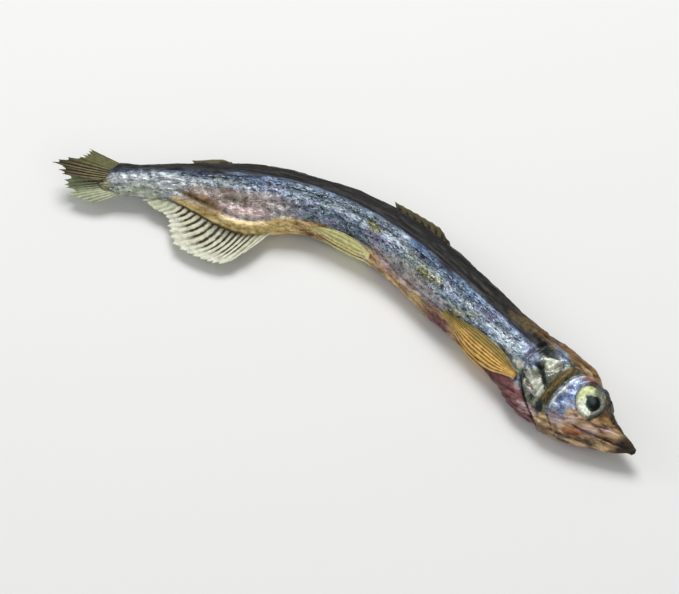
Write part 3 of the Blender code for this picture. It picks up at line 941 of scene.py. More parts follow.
@dataclass
class Body:
    """The skinned body with its head, from snout to tail root."""

    spine: Spine
    form: Form
    head_end: float = 36.0
    head_step: float = 0.13
    trunk_step: float = 0.28
    around: int = 150

    def grid(self) -> tuple[Array, Array]:
        """Distances and angles of the skin's points."""
        head = np.arange(0.0, self.head_end, self.head_step)
        count = round((self.form.length - self.head_end) / self.trunk_step)
        stations = np.concatenate((head, np.linspace(self.head_end, self.form.length, count + 1)))
        return tuple(np.meshgrid(stations, turns(self.around), indexing="ij"))

    def gill_cover(self, s: Array, y: Array, p: Array) -> Array:
        """Plates of the gill cover with their sutures and creases, outward in millimetres."""
        form = self.form
        wob = 0.35 * Grain(3).value(p, (2.5, 2.5, 9.0))
        edge = form.gill_line(y) + wob
        top = fall(y, 4.5, 2.5)
        plate = rise(edge, s, 0.55)
        out = 0.6 * plate * rise(s, 6, 8) * top
        out -= 0.45 * bump(s - edge - 0.5, 0.55) * fall(y, 5, 2)
        out += 0.22 * bump(s - edge + 0.9, 0.6) * top * (s > 20)
        # The cheek's low rim and rear groove, a raised suture behind it and a second groove.
        groove = s - form.cheek_line(y) + wob
        for height, at in ((0.12, -0.8), (-0.5, 0.0), (0.32, 1.1)):
            out += height * bump(groove - at, 0.5) * bump(y + 1.5, 6.0)
        out -= 0.5 * bump(groove - 2.2 - 0.1 * y, 0.5) * bump(y + 1.5, 5.0)
        # Creases fan out from the hinge behind the eye, and three folds run across the plate.
        behind, above = s - form.gill_hinge[0], y - form.gill_hinge[1]
        turn, far = np.arctan2(above, behind), np.hypot(above, behind)
        fan = np.sin(10.0 * turn + 1.8 * Grain(8).value(p, (3.0, 3.0, 9.0)))
        inside = plate * rise(groove, 2.4, 1.2) * top
        out += 0.2 * fan * inside * smooth(far / 3)
        out -= 0.42 * Grain(12).ridged(p, (3.4, 2.2, 9.0), 2) * inside
        fold = y + 0.8 - 0.42 * (s - 25.6) - 0.3 * np.sin(s)
        out -= 0.65 * bump(fold, 0.35) * bump(s - 25.6, 2.8)
        out -= 0.4 * bump(y - 3.4 + 0.3 * (s - 27.0), 0.4) * bump(s - 27.0, 2.6)
        out -= 0.35 * bump(y + 5.2 - 0.28 * (s - 22), 0.4) * inside
        return out

    def face(self, s: Array, y: Array, p: Array) -> Array:
        """Eye sockets, jaws, nostrils and crown, outward in millimetres."""
        form = self.form
        off = form.eye_distance(s, y)
        out = -0.9 * fall(off, 0.93, 0.1)
        high = rise(y, 1.0, 3.0)
        out += (0.10 + 0.5 * high) * bump(off - 1.17, 0.12)
        angle = np.arctan2(y - form.eye_at[1], s - form.eye_at[0])
        out += 0.16 * np.sin(9 * angle) * bump(off - 1.25, 0.18)
        # Jaws: the closed gap, the upper jaw's plate over it and the lower jaw.
        gap = y - form.mouth_line(s) + 0.15 * np.sin(s * 0.9)
        gap = gap + 0.2 * Grain(17).value(p, (2.2, 2.2, 9.0))
        out -= 0.22 * bump(gap, 0.36) * window(s, 0, form.mouth_end, 1.2, 0.9)
        upper = window(gap, 0, 1.5 + 0.04 * s, 0.5, 0.45)
        out += 0.34 * upper * fall(s - form.mouth_end, 0.2, 0.7) * rise(s, 1.5, 3)
        lower = smooth(-gap / 0.5) * fall(-gap, 2.0, 0.8)
        out += 0.20 * lower * fall(s, 14, 2.5) * smooth(s / 3)
        # Folds: under the lower jaw, over the upper jaw, along the crown and beside it.
        back = form.section(s)[0]
        for deep, off_line, wide, span in (
            (0.28, gap + 2.9, 0.35, (4, 15, 3, 4)), (0.3, gap - 1.9, 0.3, (7.5, 13.5, 1.5, 1.5)),
            (0.3, y - 0.86 * back, 0.4, (9, 30, 5, 4)),
            (0.35, y - 0.62 * back - 0.4 * np.sin(s * 0.8), 0.4, (17, 30, 2, 3)),
        ):
            out -= deep * bump(off_line, wide) * window(s, *span)
        # Nostrils, and the ribs under the throat.
        for deep, at_s, at_y, wide in ((0.4, 6.9, 1.4, 0.38), (0.25, 7.8, 1.7, 0.3)):
            out -= deep * bump(np.hypot(s - at_s, y - at_y), wide)
        ribs = np.sin((y + 0.20 * s) * 5.2)
        out += 0.15 * ribs * rise(-y, 6.2, 1.2) * window(s, 13, 31, 3, 4)
        out += 0.24 * Grain(21).layered(p, (2.8, 2.4, 3.0), 3) * smooth(s / 3)
        wrinkled = Grain(23).ridged(p, (2.8, 1.3, 2.0), 2) * rise(off, 0.98, 0.1)
        return out - 0.12 * wrinkled * smooth(s / 3)

    def trunk_relief(self, s: Array, y: Array, p: Array) -> Array:
        """Ridges, folds and dents of the dried trunk, outward in millimetres."""
        back, belly, _ = self.form.section(s)
        trunk = window(s, 32, 118, 6, 10)
        wave = self.line_wave(p)
        stray = 0.4 * Grain(6).value(p, (9.0, 50.0, 50.0))
        # The lateral line: its groove, the slit in it, the ridge over it and the fold above.
        out = 0 * s
        for height, at, wide in ((-0.34, 1.3, 1.1), (-0.20, 1.2, 0.22), (0.18, 3.2, 0.9),
                                 (-0.26, 3.9 + stray, 0.3)):
            out += height * bump(y - at - wave, wide) * trunk
        # Hollow over the anal fin's muscles, and the ridge along its root.
        out -= 0.5 * bump(y + 0.42 * belly, 1.6) * bump(s - 107, 9)
        ridge = y + belly - 1.5 - 0.3 * np.sin(s * 0.35)
        out += 0.5 * bump(ridge, 0.6) * bump(s - 108, 12)
        out -= 0.36 * bump(ridge - 1.2, 0.45) * bump(s - 112, 10)
        # Keel folds along the belly edge.
        keel = y + 0.72 * belly + 0.3 * np.sin(s * 0.31)
        out -= 0.3 * bump(keel, 0.35) * window(s, 36, 92, 5, 5)
        mask = rise(s, 31, 4)
        high = rise(y / back, 0.25, 0.3)
        puckers = Grain(31).ridged(p, (13.0, 1.25, 2.2), 3) - 0.4
        out += 0.26 * puckers * (0.35 + 0.65 * high) * mask
        out += 0.30 * Grain(33).layered(p, (15.0, 6.0, 9.0), 3) * mask
        out += 0.16 * Grain(35).layered(p, (3.6, 1.5, 2.5), 3) * mask
        # Chevrons of the muscle blocks, one every 2.4 mm.
        chevron = s + 0.55 * np.abs(y - 1.2) + 0.5 * Grain(37).value(p, (5, 3, 9))
        blocks = np.sin(2 * np.pi * chevron / 2.4)
        out += 0.05 * blocks * mask * (1 - high)
        return out

    def line_wave(self, p: Array) -> Array:
        """How far the lateral line strays up or down."""
        return 0.5 * Grain(5).value(p * np.array([1.0, 0.0, 0.0]), (14.0, 50.0, 50.0))

    def relief(self, s: Array, y: Array, p: Array) -> Array:
        """All relief down to the pits of the dried skin, outward in millimetres."""
        head = (self.gill_cover(s, y, p) + self.face(s, y, p)) * fall(s, 33, 3)
        pits = 0.075 * Grain(41).layered(p, (1.3, 0.75, 0.9), 2)
        ends = window(s, 0, self.form.length - 2.0, 1.5, 2.0)
        return (head + self.trunk_relief(s, y, p) + pits) * (0.15 + 0.85 * ends)

    def flank_zones(self, s: Array, y: Array, p: Array) -> dict[Zone, Array]:
        """Share of the trunk's colour zones at each point."""
        back, belly, _ = self.form.section(s)
        yw = y + 0.7 * Grain(51).layered(p, (8.0, 2.2, 6.0), 4)
        sw = s + 0.8 * Grain(53).layered(p, (3.0, 2.2, 6.0), 3)
        trunk = rise(sw, 30, 3)
        low = 0.42 - 0.08 * bump(sw - 70, 25)
        out = {Zone.BACK: rise(yw, low * back - 0.8, 1.9) * rise(sw, 24, 7)}
        out[Zone.UPPER] = 0.75 * rise(yw, 0.02 * back, 0.42 * back) * trunk
        band = bump(sw - 57, 13) + 0.7 * bump(sw - 105, 9)
        out[Zone.AZURE] = 0.75 * band * bump(yw - 0.24 * back, 1.7)
        out[Zone.PALE] = 0.5 * bump(sw - 37, 9) * bump(yw + 0.3, 3.2)
        strip = rise(-yw, belly * (0.74 + 0.10 * rise(s, 95, 10)) - 0.7, 1.5)
        out[Zone.BELLY] = strip * trunk * fall(s, 118, 6)
        ridge = y + belly - 1.1 - 0.3 * np.sin(s * 0.35)
        broad = 0.15 + 1.1 * bump(s - 102, 8)
        out[Zone.GOLD] = fall(ridge, 0.75 * broad, 0.8) * window(sw, 90, 121, 8, 4)
        # Painted shade: the underside between the gold ridge and the anal fin is darkened with the
        # back's colour.
        shaded = rise(-y, belly - 0.5, 0.4) * window(sw, 103, 123, 5, 3)
        out[Zone.BACK] = np.maximum(out[Zone.BACK], 0.8 * shaded)
        under = rise(-yw, -0.2, 2.6)
        rosy = 0.65 * bump(sw - 63, 14) * rise(-yw, 0.6, 2.4)
        out[Zone.MAUVE] = np.maximum(rosy, 0.95 * under * window(sw, 88, 116, 16, 9))
        out[Zone.TAIL] = rise(-yw, -2.2, 1.8) * rise(sw, 110, 12)
        out[Zone.SAGE] = 0.75 * rise(-yw, 1.0, 2.0) * rise(sw, 122, 6)
        out[Zone.TARNISH] = 0.45 * bump(sw - 64, 9) * bump(yw - 0.2, 2.6)
        pink = window(sw, 38, 74, 6, 8) * rise(-yw, 0.50 * belly, 1.5)
        pink = pink * (0.45 + 0.4 * Grain(57).value(p, (6.0, 3.0, 9.0)))
        throat = rise(-yw, 5.0, 1.4) * window(sw, 18, 37, 3, 5)
        out[Zone.THROAT] = np.maximum(throat, pink)
        return out

    def head_zones(self, s: Array, y: Array, p: Array) -> dict[Zone, Array]:
        """Share of the head's colour zones at each point."""
        form = self.form
        yw = y + 0.4 * Grain(51).layered(p, (3.0, 2.2, 6.0), 3)
        sw = s + 0.4 * Grain(53).layered(p, (3.0, 2.2, 6.0), 3)
        edge = form.gill_line(y) + 0.2
        groove = sw - form.cheek_line(y)
        cover = rise(groove, -0.2, 0.6) * rise(edge, s, 0.6) * window(yw, -8.4, 5.8, 1.0, 1.4)
        out = {Zone.OPERCLE: cover}
        tall = window(yw, -6.5, 4.5, 1.5, 1.5)
        out[Zone.STRIPE] = cover * fall(groove, 2.0, 0.7) * tall
        off = form.eye_distance(s, y)
        cheek = rise(off, 0.9, 0.1) * fall(groove, -0.9, 0.6) * rise(sw, 12.0 + 0.25 * yw, 2.0)
        out[Zone.CHEEK] = cheek * window(yw, -6.2, 3.8, 2.0, 1.6)
        rim = bump(groove + 0.8 + 0.7 * Grain(59).value(p, (1.6, 1.6, 9.0)), 0.42) * tall
        out[Zone.PEARL] = rim * (0.42 + 0.4 * Grain(60).value(p, (1.5, 1.5, 9.0)))
        head = fall(sw, 27, 4)
        out[Zone.CROWN] = head * np.maximum(rise(yw, 4.6, 1.4), fall(sw, 12.0, 1.4))
        gap = y - form.mouth_line(s)
        jaw = fall(gap, 2.4, 1.2) * fall(sw, 14.6, 2.2)
        under = rise(-yw, 6.2, 1.0) * fall(sw, 19, 3)
        out[Zone.JAW] = np.maximum(jaw, under)
        # The snout's tip is dark of itself; along its top edge and in the slit behind the gill
        # cover the same dark is painted shadow.
        tip = fall(sw, 2.8, 2.4)
        top = rise(yw, 0.2 + 0.10 * s, 1.0) * fall(sw, 10.8, 2.4)
        # Painted shadow of the eye socket along the rim's upper front side.
        angle = np.arctan2(y - form.eye_at[1], s - form.eye_at[0])
        brow = 0.75 * bump(off - 1.1, 0.1) * rise(np.cos(angle - math.radians(115)), -0.3, 0.9)
        slit = bump(s - form.gill_line(y) - 0.5, 0.6) * rise(-y, 2.8, 1.0) * rise(y, -8.6, 1.0)
        out[Zone.SNOUT] = np.maximum.reduce([tip, top, 0.9 * slit])
        # Painted shade in the mouth's gap near the tip, and the socket's painted shadow.
        out[Zone.INK] = np.maximum(brow, 0.5 * bump(gap, 0.3) * fall(s, 7, 3))
        return out

    def zones(self, s: Array, y: Array, p: Array) -> dict[Zone, Array]:
        """Share of each colour zone at each point, from 0 to 1, with the separate blotches."""
        out = {zone: 0 * s for zone in Zone}
        out.update(self.flank_zones(s, y, p))
        out.update(self.head_zones(s, y, p))
        sw = s + 0.5 * Grain(55).layered(p, (1.6, 1.2, 6.0), 2)
        yw = y + 0.4 * Grain(56).layered(p, (1.6, 1.2, 6.0), 2)
        for mark in BLOTCHES:
            out[mark.zone] = np.maximum(out[mark.zone], mark.share(sw, yw))
        return {zone: np.clip(share, 0.0, 1.0) for zone, share in out.items()}

    def build(self, finish: Material) -> Piece:
        """Build the skin, with the zones and the painted shade of its folds that its finish reads.
        """
        s2, a2 = self.grid()
        y2, z2 = self.form.ring(s2, a2)
        taper = rise(s2, self.form.tail_root, self.form.length - self.form.tail_root)
        z2 = z2 * (1 - 0.6 * taper)
        base = np.stack((s2 - 2.2 * (y2 / 3.0) ** 2 * taper, y2, z2), axis=-1)
        along = np.gradient(base, axis=0)
        padded = np.concatenate((base[:, -1:], base, base[:, :1]), axis=1)
        across = (padded[:, 2:] - padded[:, :-2]) / 2
        normal = np.cross(across, along)
        normal /= np.maximum(np.linalg.norm(normal, axis=-1, keepdims=True), 1e-9)
        outward = np.sum(normal * np.stack((0 * s2, y2, z2), axis=-1), axis=-1, keepdims=True)
        normal *= np.where(outward < 0, -1, 1)
        s, y, p = s2.ravel(), y2.ravel(), base.reshape(-1, 3)
        lift = self.relief(s, y, p)
        shaped = p + normal.reshape(-1, 3) * lift[:, None]
        poles = np.array([[-0.4, -0.3, 0.0], [self.form.length + 0.3, 0.0, 0.0]])
        # Painted shade: points sunk below their smoothed surroundings, and deep dents, darken the
        # skin's colour.
        soft = lift.reshape(s2.shape)
        for axis, times in ((0, 5), (1, 3)):
            for _ in range(times):
                soft = (np.roll(soft, 1, axis) + soft + np.roll(soft, -1, axis)) / 3
        hollow = np.clip((soft.ravel() - lift) / 0.2, 0, 1)
        deep = np.clip(-lift / 0.6, 0, 1) * 0.5
        shares = self.zones(s, y, p)
        dull = np.maximum.reduce([share * shares[zone] for zone, share in DULLNESS.items()])
        speckle = (0.25 + 0.75 * rise(s, 29, 8)) * (1 - 0.7 * dull) * (1 - 0.4 * rise(s, 116, 8))
        tags = {"hollow": np.maximum(hollow, deep), "shine": 1 - 0.9 * dull,
                "speckle": speckle * (1 - 0.5 * shares[Zone.MAUVE])}
        tags = {name: np.append(values, (0.0, 0.0)) for name, values in tags.items()}
        for zone, share in shares.items():
            tags[zone.value] = np.append(share, (share[0], share[-1]))
        return closed_piece("body_skin", self.spine, np.vstack((shaped, poles)),
                            ring_faces(*s2.shape), tags, finish)


@dataclass
class ScaleRow:
    """The raised, pointed scales that a male capelin carries along its lateral line."""

    body: Body
    side: Side
    first: float = 36.0
    last: float = 124.0
    step: float = 0.5
    pitch: float = 1.35
    seed: int = 7

    def leaf(self) -> Piece:
        """One scale: a low closed dome, pointed towards the tail."""
        count = 10
        a = turns(count)
        long = 0.8 * np.cos(a) - 0.5 * np.maximum(0, -np.cos(a)) ** 3
        rim = np.stack((long, 0.27 * np.sin(a), 0 * a), axis=1)
        inner = rim * np.array([0.5, 0.5, 1.0]) + np.array([0.0, 0.0, 0.05])
        points = np.vstack((rim, inner, [[0.0, 0.0, 0.07], [0.0, 0.0, -0.06]])) * MM
        faces = []
        for k in range(count):
            n = (k + 1) % count
            faces += [(k, n, count + n, count + k), (count + k, count + n, 2 * count),
                      (n, k, 2 * count + 1)]
        return make_mesh("lateral_scale", points, faces)

    def guide(self) -> tuple[Array, Array]:
        """Points of the row on the skin and the way out of the skin there."""
        s = np.arange(self.first, self.last, self.step)
        form = self.body.form
        wave = self.body.line_wave(np.stack((s, 0 * s, 0 * s), axis=1))
        y = (2.0 + wave) * np.minimum(1.0, form.section(s)[0] / 7.0)
        flat = np.stack((s, y, self.side.value * form.flank(s, y)), axis=1)
        lift = self.body.relief(s, y, flat)
        flat[:, 2] += self.side.value * (lift + 0.02)
        above = flat + np.array([0.0, 0.25, self.side.value])
        world = self.body.spine.lay(flat)
        out = self.body.spine.lay(above) - world
        return world, out / np.linalg.norm(out, axis=1, keepdims=True)

    def tree(self, leaf: Piece, finish: Material) -> Tree:
        """Build the tree that sets a scale at every step of the guide."""
        tree = new_group("scale_row", ("Guide", "INPUT", "Geometry"), ("Pitch", "INPUT", "Float"),
                         ("Seed", "INPUT", "Int"), ("Scales", "OUTPUT", "Geometry"))
        add = partial(add_node, tree)
        start = add("NodeGroupInput", {})
        seed = start.outputs["Seed"]
        line = add("GeometryNodeMeshToCurve", {"Mesh": start.outputs["Guide"]})
        steps = add("GeometryNodeResampleCurve", {"Curve": line, "Length": start.outputs["Pitch"]},
                    mode="LENGTH")
        way = add("GeometryNodeInputTangent", {})
        out = add("GeometryNodeInputNamedAttribute", {"Name": "out"}, data_type="FLOAT_VECTOR")
        along = add("FunctionNodeAlignRotationToVector", {"Vector": way}, axis="X")
        flat = add("FunctionNodeAlignRotationToVector", {"Rotation": along, "Vector": out},
                   axis="Z", pivot_axis="X")
        turn = add("FunctionNodeRandomValue", {0: (-0.1, -0.03, -0.3), 1: (0.1, 0.1, 0.3),
                                               "Seed": seed}, data_type="FLOAT_VECTOR")
        tilt = add("FunctionNodeRotateRotation", {0: flat, 1: turn}, rotation_space="LOCAL")
        size = add("FunctionNodeRandomValue", {2: 0.35, 3: 1.05, "Seed": seed}, data_type="FLOAT")
        shape = add("GeometryNodeObjectInfo", {"Object": leaf}).outputs["Geometry"]
        copies = add("GeometryNodeInstanceOnPoints", {"Points": steps, "Instance": shape,
                                                      "Rotation": tilt, "Scale": size.outputs[1]})
        finish_group(add, copies, finish, "Scales")
        return tree

    def build(self, finish: Material) -> Piece:
        """Build the row as one plain mesh."""
        points, out = self.guide()
        leaf = self.leaf()
        edges = [(k, k + 1) for k in range(len(points) - 1)]
        piece = run_tree("scales_" + self.side.label, points, edges, {"out": out},
                         self.tree(leaf, finish), {"Pitch": self.pitch * MM, "Seed": self.seed})
        bpy.data.objects.remove(leaf, do_unlink=True)
        return piece


def run_tree(name: str, points: Array, edges: list, tags: dict[str, Array],
             tree: Tree, values: dict[str, float]) -> Piece:
    """Run a Geometry Nodes tree on guide lines and keep the result as a plain mesh.

    Args:
        name: Name of the piece.
        points: Guide points in metres.
        edges: Pairs of point numbers that make the guide lines.
        tags: Values kept on the guide points.
        tree: Tree to run.
        values: Values of the tree's own named inputs.

    Returns:
        The new object.
    """
    guide = bpy.data.meshes.new(name + "_guide")
    guide.from_pydata(points.tolist(), edges, [])
    piece = bpy.data.objects.new(name, guide)
    bpy.context.scene.collection.objects.link(piece)
    for tag, numbers in tags.items():
        tag_points(piece, tag, numbers)
    step = piece.modifiers.new("grow", "NODES")
    step.node_group = tree
    names = {item.name: item.identifier for item in tree.interface.items_tree
             if getattr(item, "in_out", "") == "INPUT"}
    for key, value in values.items():
        step[names[key]] = value
    seen = piece.evaluated_get(bpy.context.evaluated_depsgraph_get())
    mesh = bpy.data.meshes.new_from_object(seen)
    mesh.name = name
    piece.modifiers.clear()
    piece.data = mesh
    bpy.data.meshes.remove(guide)
    bpy.data.node_groups.remove(tree)
    return piece


# ---------------------------------------------------------------- fins


@dataclass(frozen=True)
class RayTubes:
    """Geometry Nodes tree that turns guide lines into tapered, closed tubes."""

    sides: int = 7

    def tree(self, finish: Material) -> Tree:
        """Build the tree that gives the guide lines their round skin."""
        tree = new_group("ray_tubes", ("Guides", "INPUT", "Geometry"), ("Sides", "INPUT", "Int"),
                         ("Girth Scale", "INPUT", "Float"), ("Tubes", "OUTPUT", "Geometry"))
        add = partial(add_node, tree)
        start = add("NodeGroupInput", {})
        lines = add("GeometryNodeMeshToCurve", {"Mesh": start.outputs["Guides"]})
        width = add("GeometryNodeInputNamedAttribute", {"Name": "girth"}, data_type="FLOAT")
        scaled = add("ShaderNodeMath", {0: width, 1: start.outputs["Girth Scale"]},
                     operation="MULTIPLY")
        ring = add("GeometryNodeCurvePrimitiveCircle", {"Resolution": start.outputs["Sides"],
                                                        "Radius": 1.0})
        skin = add("GeometryNodeCurveToMesh", {"Curve": lines, "Profile Curve": ring,
                                               "Scale": scaled, "Fill Caps": True})
        finish_group(add, skin, finish, "Tubes")
        return tree

    def build(self, name: str, lines: Sequence[Array], girths: Sequence[Array],
              finish: Material, girth_scale: float = 1.0) -> Piece:
        """Turn lines into one plain mesh of tubes.

        Args:
            name: Name of the piece.
            lines: Points of each line, in metres.
            girths: Radius at each point, in metres.
            finish: Material of the tubes.
            girth_scale: Factor on every radius.

        Returns:
            The new object.
        """
        edges, first = [], 0
        for line in lines:
            edges += [(first + k, first + k + 1) for k in range(len(line) - 1)]
            first += len(line)
        return run_tree(name, np.vstack(lines), edges, {"girth": np.concatenate(girths)},
                        self.tree(finish), {"Sides": self.sides, "Girth Scale": girth_scale})


@dataclass
class Fin:
    """A dried fin: a thin membrane with rays that stand out of it."""

    name: str
    look: FinLook
    spine: Spine
    rays: int
    middle: Surface
    thickness: Width
    ray_girth: float = 0.16
    branch_at: float = 0.6
    cells_per_ray: int = 6
    rows: int = 26
    rays_along_u: bool = False
    tip_shrink: float = 0.5
    rays_from: float = 0.0
    ray_points: int = 14
    stem_girth: float = 1.0
    branch_spread: float = 0.22
    branch_girth: float = 0.75
    clearance: float = 0.15
    accent: Callable[[Array, Array], Array] = staticmethod(lambda u, v: 0 * u)

    def membrane(self, finish: Material) -> Piece:
        """Build the membrane, both faces and its rim."""
        columns = self.cells_per_ray * (self.rays - 1)
        if self.rays_along_u:
            u, v, faces = sheet_grid(self.rows, columns)
            across, out = v, u
        else:
            u, v, faces = sheet_grid(columns, self.rows)
            across, out = u, v
        s, y, z = self.middle(u, v)
        half = self.thickness(u, v) / 2
        straight = np.vstack([np.stack((s, y, level), axis=1) for level in (z + half, z - half)])
        tags = {"near_ray": 0.5 + 0.5 * ripple(across, self.rays), "span": out,
                "accent": self.accent(u, v)}
        tags = {name: np.tile(values, 2) for name, values in tags.items()}
        return closed_piece(self.name + "_membrane", self.spine, straight, faces, tags, finish)

    def ray_lines(self) -> tuple[list[Array], list[Array]]:
        """Guide lines of the rays, each split in two towards the edge."""
        lines, girths = [], []
        gap = 1.0 / (self.rays - 1)
        for k in range(self.rays):
            parts = [(self.rays_from, self.branch_at + 0.02, 0.0, self.stem_girth)]
            parts += [(self.branch_at, 1.0, way * self.branch_spread * gap, self.branch_girth)
                      for way in (-1, 1)]
            for low, high, spread, girth in parts:
                v = np.linspace(low, high, self.ray_points)
                u = np.clip(k * gap + spread * smooth((v - low) / (high - low)), 0.0, 1.0)
                s, y, z = self.middle(v, u) if self.rays_along_u else self.middle(u, v)
                line = self.spine.lay(np.stack((s, y, z), axis=1))
                line[:, 2] = np.maximum(line[:, 2], self.clearance * MM)
                lines.append(line)
                stout = 0.8 + 0.4 * steady(k, 4.0)
                girths.append(self.ray_girth * MM * (1 - self.tip_shrink * v) * stout * girth)
        return lines, girths

    def build(self, membrane: Material, ray: Material) -> list[Piece]:
        """Build the membrane and its rays."""
        return [self.membrane(membrane),
                RayTubes().build(self.name + "_rays", *self.ray_lines(), ray)]


@dataclass
class Fins:
    """All the fins of the fish, from the sizes that the CAD solid has too."""

    spine: Spine
    form: Form
    thick: float = 0.15
    anal_base: tuple = (98.5, 126.0)
    anal_rays: int = 20
    tail_rays: int = 12
    anal_tips: tuple = (
        (0.0, 104.0, -14.6), (0.05, 106.4, -17.0), (0.10, 108.8, -18.2), (0.20, 112.0, -18.2),
        (0.31, 115.6, -17.3), (0.42, 119.2, -15.9), (0.53, 122.2, -13.0), (0.62, 123.0, -10.6),
        (0.70, 123.3, -8.9), (0.79, 124.4, -7.4), (0.90, 127.0, -6.4), (1.0, 129.4, -4.6),
    )
    upper_tips: tuple = (
        (0.0, 145.6, -0.4), (0.2, 147.2, 1.2), (0.38, 148.6, 3.0), (0.55, 145.4, 4.2),
        (0.7, 142.9, 5.0), (0.85, 142.4, 6.0), (1.0, 141.7, 7.0),
    )
    lower_tips: tuple = (
        (0.0, 145.8, 2.0), (0.3, 146.0, -1.2), (0.6, 145.0, -3.5), (0.8, 143.2, -4.8),
        (1.0, 140.2, -5.6),
    )

    def edge(self, u: Array, rays: int, seed: float, notch: float, jitter: float) -> Array:
        """Length left at the fin's edge, 1 on a ray and less between rays."""
        at = u * (rays - 1)
        k = np.floor(at)
        t = at - k
        tip = steady(k, seed) * (1 - t) + steady(k + 1, seed) * t
        return 1 - notch * np.sin(np.pi * t) - jitter * tip

    def sheet_width(self, u: Array, v: Array) -> Array:
        """Membrane thickness: stout at the root and thin at the edge."""
        return self.thick * (1.5 - v) + 0 * u

    def anal(self) -> Fin:
        """The large convex fan under the tail half."""
        first, last = self.anal_base

        def middle(u: Array, v: Array) -> tuple[Array, Array, Array]:
            """Middle surface of the fin."""
            s = first + (last - first) * u
            root = -self.form.section(s)[1] + 1.6
            part = v * (0.04 + self.edge(u, self.anal_rays, 1, 0.06, 0.06))
            wave = 0.45 * np.sin(5.0 * u + 0.6) * v * v + 0.7 * v * (1 - u)
            wave = wave + 0.07 * ripple(u, self.anal_rays) * v
            tip_s, tip_y = (table_curve(self.anal_tips, k, u) for k in (1, 2))
            bend = (0.1 + 0.55 * smooth(u / 0.45)) * part * (1 - part)
            return s + (tip_s - s) * (part - bend), root + (tip_y - root) * (part + bend), wave

        return Fin("anal_fin", FinLook.STRAW, self.spine, self.anal_rays, middle, self.sheet_width,
                   ray_girth=0.2, rays_from=0.2, stem_girth=0.75,
                   accent=lambda u, v: np.maximum(rise(u, 0.78, 0.05), fall(u, 0.04, 0.1)))

    def tail_lobe(self, up: int) -> Fin:
        """One lobe of the folded, frayed tail; up is 1 or -1."""
        tips = self.upper_tips if up > 0 else self.lower_tips

        def middle(u: Array, v: Array) -> tuple[Array, Array, Array]:
            """Middle surface of the lobe."""
            part = v * (0.06 + self.edge(u, self.tail_rays, 5 + up, 0.08, 0.16))
            root = up * (4.0 * u - 0.7)
            tip_s, tip_y = (table_curve(tips, k, u) for k in (1, 2))
            curl = up * (0.22 + 1.0 * v * v) + 0.6 * np.sin(3.5 * u + up) * v * v
            curl = curl + 0.12 * ripple(u, self.tail_rays) * v
            start = self.form.tail_root
            return start + (tip_s - start) * part, root + (tip_y - root) * part, curl

        name, look = ("upper_tail", FinLook.OLIVE) if up > 0 else ("lower_tail", FinLook.SAGE)
        return Fin(name, look, self.spine, self.tail_rays, middle, self.sheet_width, ray_girth=0.13,
                   accent=lambda u, v: rise(u, 0.45, 0.2))

    def back_fin(self, name: str, first: float, last: float, height: float, sweep: float,
                 rays: int, lean: float) -> Fin:
        """A fin folded down on the back between two distances from the snout."""

        def middle(u: Array, v: Array) -> tuple[Array, Array, Array]:
            """Middle surface of the fin."""
            s = first + (last - first) * u
            reach = height * (0.35 + 0.65 * smooth(u / 0.25) - 0.4 * u)
            reach = reach * self.edge(u, rays, 9, 0.09, 0.07)
            root = self.form.section(s)[0] - 0.9
            return s + sweep * v, root + (reach + 0.9) * v, lean * v * v

        return Fin(name, FinLook.DUSKY, self.spine, rays, middle, self.sheet_width, ray_girth=0.14,
                   rows=12)

    def blade(self, side: Side, name: str, look: FinLook, start: tuple, end: tuple, width: float,
              lift: float, rays: int) -> Fin:
        """A paired fin folded back on the flank, from its root to its tip."""

        def middle(u: Array, v: Array) -> tuple[Array, Array, Array]:
            """Middle surface of the fin."""
            shape = (0.35 + 0.65 * smooth(u / 0.3)) * (1 - 0.75 * rise(u, 0.5, 0.5))
            s = start[0] + (end[0] - start[0]) * u
            y = start[1] + (end[1] - start[1]) * u + width * shape * (v - 0.5)
            out = self.form.flank(s, y) + 0.35 + lift * u + 0.25 * np.sin(np.pi * v)
            out = out + 0.08 * ripple(v, rays)
            frayed = 1.5 * rise(u, 0.75, 0.25) * steady(np.round(v * (rays - 1)), 2.0)
            return s - frayed, y, side.value * out

        def thickness(u: Array, v: Array) -> Array:
            """Stout at the root, thin at the tip."""
            return 0.7 - 0.45 * u + 0 * v

        return Fin(name + "_" + side.label, look, self.spine, rays, middle, thickness,
                   ray_girth=0.12, rays_along_u=True, rows=40, tip_shrink=0.4,
                   accent=lambda u, v: rise(v, 0.4, 0.4))

    def all(self) -> list[Fin]:
        """Every fin of the fish."""
        fins = [self.anal(), self.tail_lobe(1), self.tail_lobe(-1),
                self.back_fin("dorsal_fin", 62.0, 76.0, 2.2, 2.2, 9, 0.9),
                self.back_fin("adipose_fin", 110.0, 118.0, 1.3, 1.8, 3, 0.3)]
        pairs = (("pectoral", FinLook.AMBER, (29.5, -4.6), (52.0, -4.5), 4.2, 0.5, 9),
                 ("pelvic", FinLook.YELLOW, (74.5, -4.8), (90.5, -5.0), 2.0, 0.35, 5))
        return fins + [self.blade(side, *pair) for side in Side for pair in pairs]


# ---------------------------------------------------------------- eyes


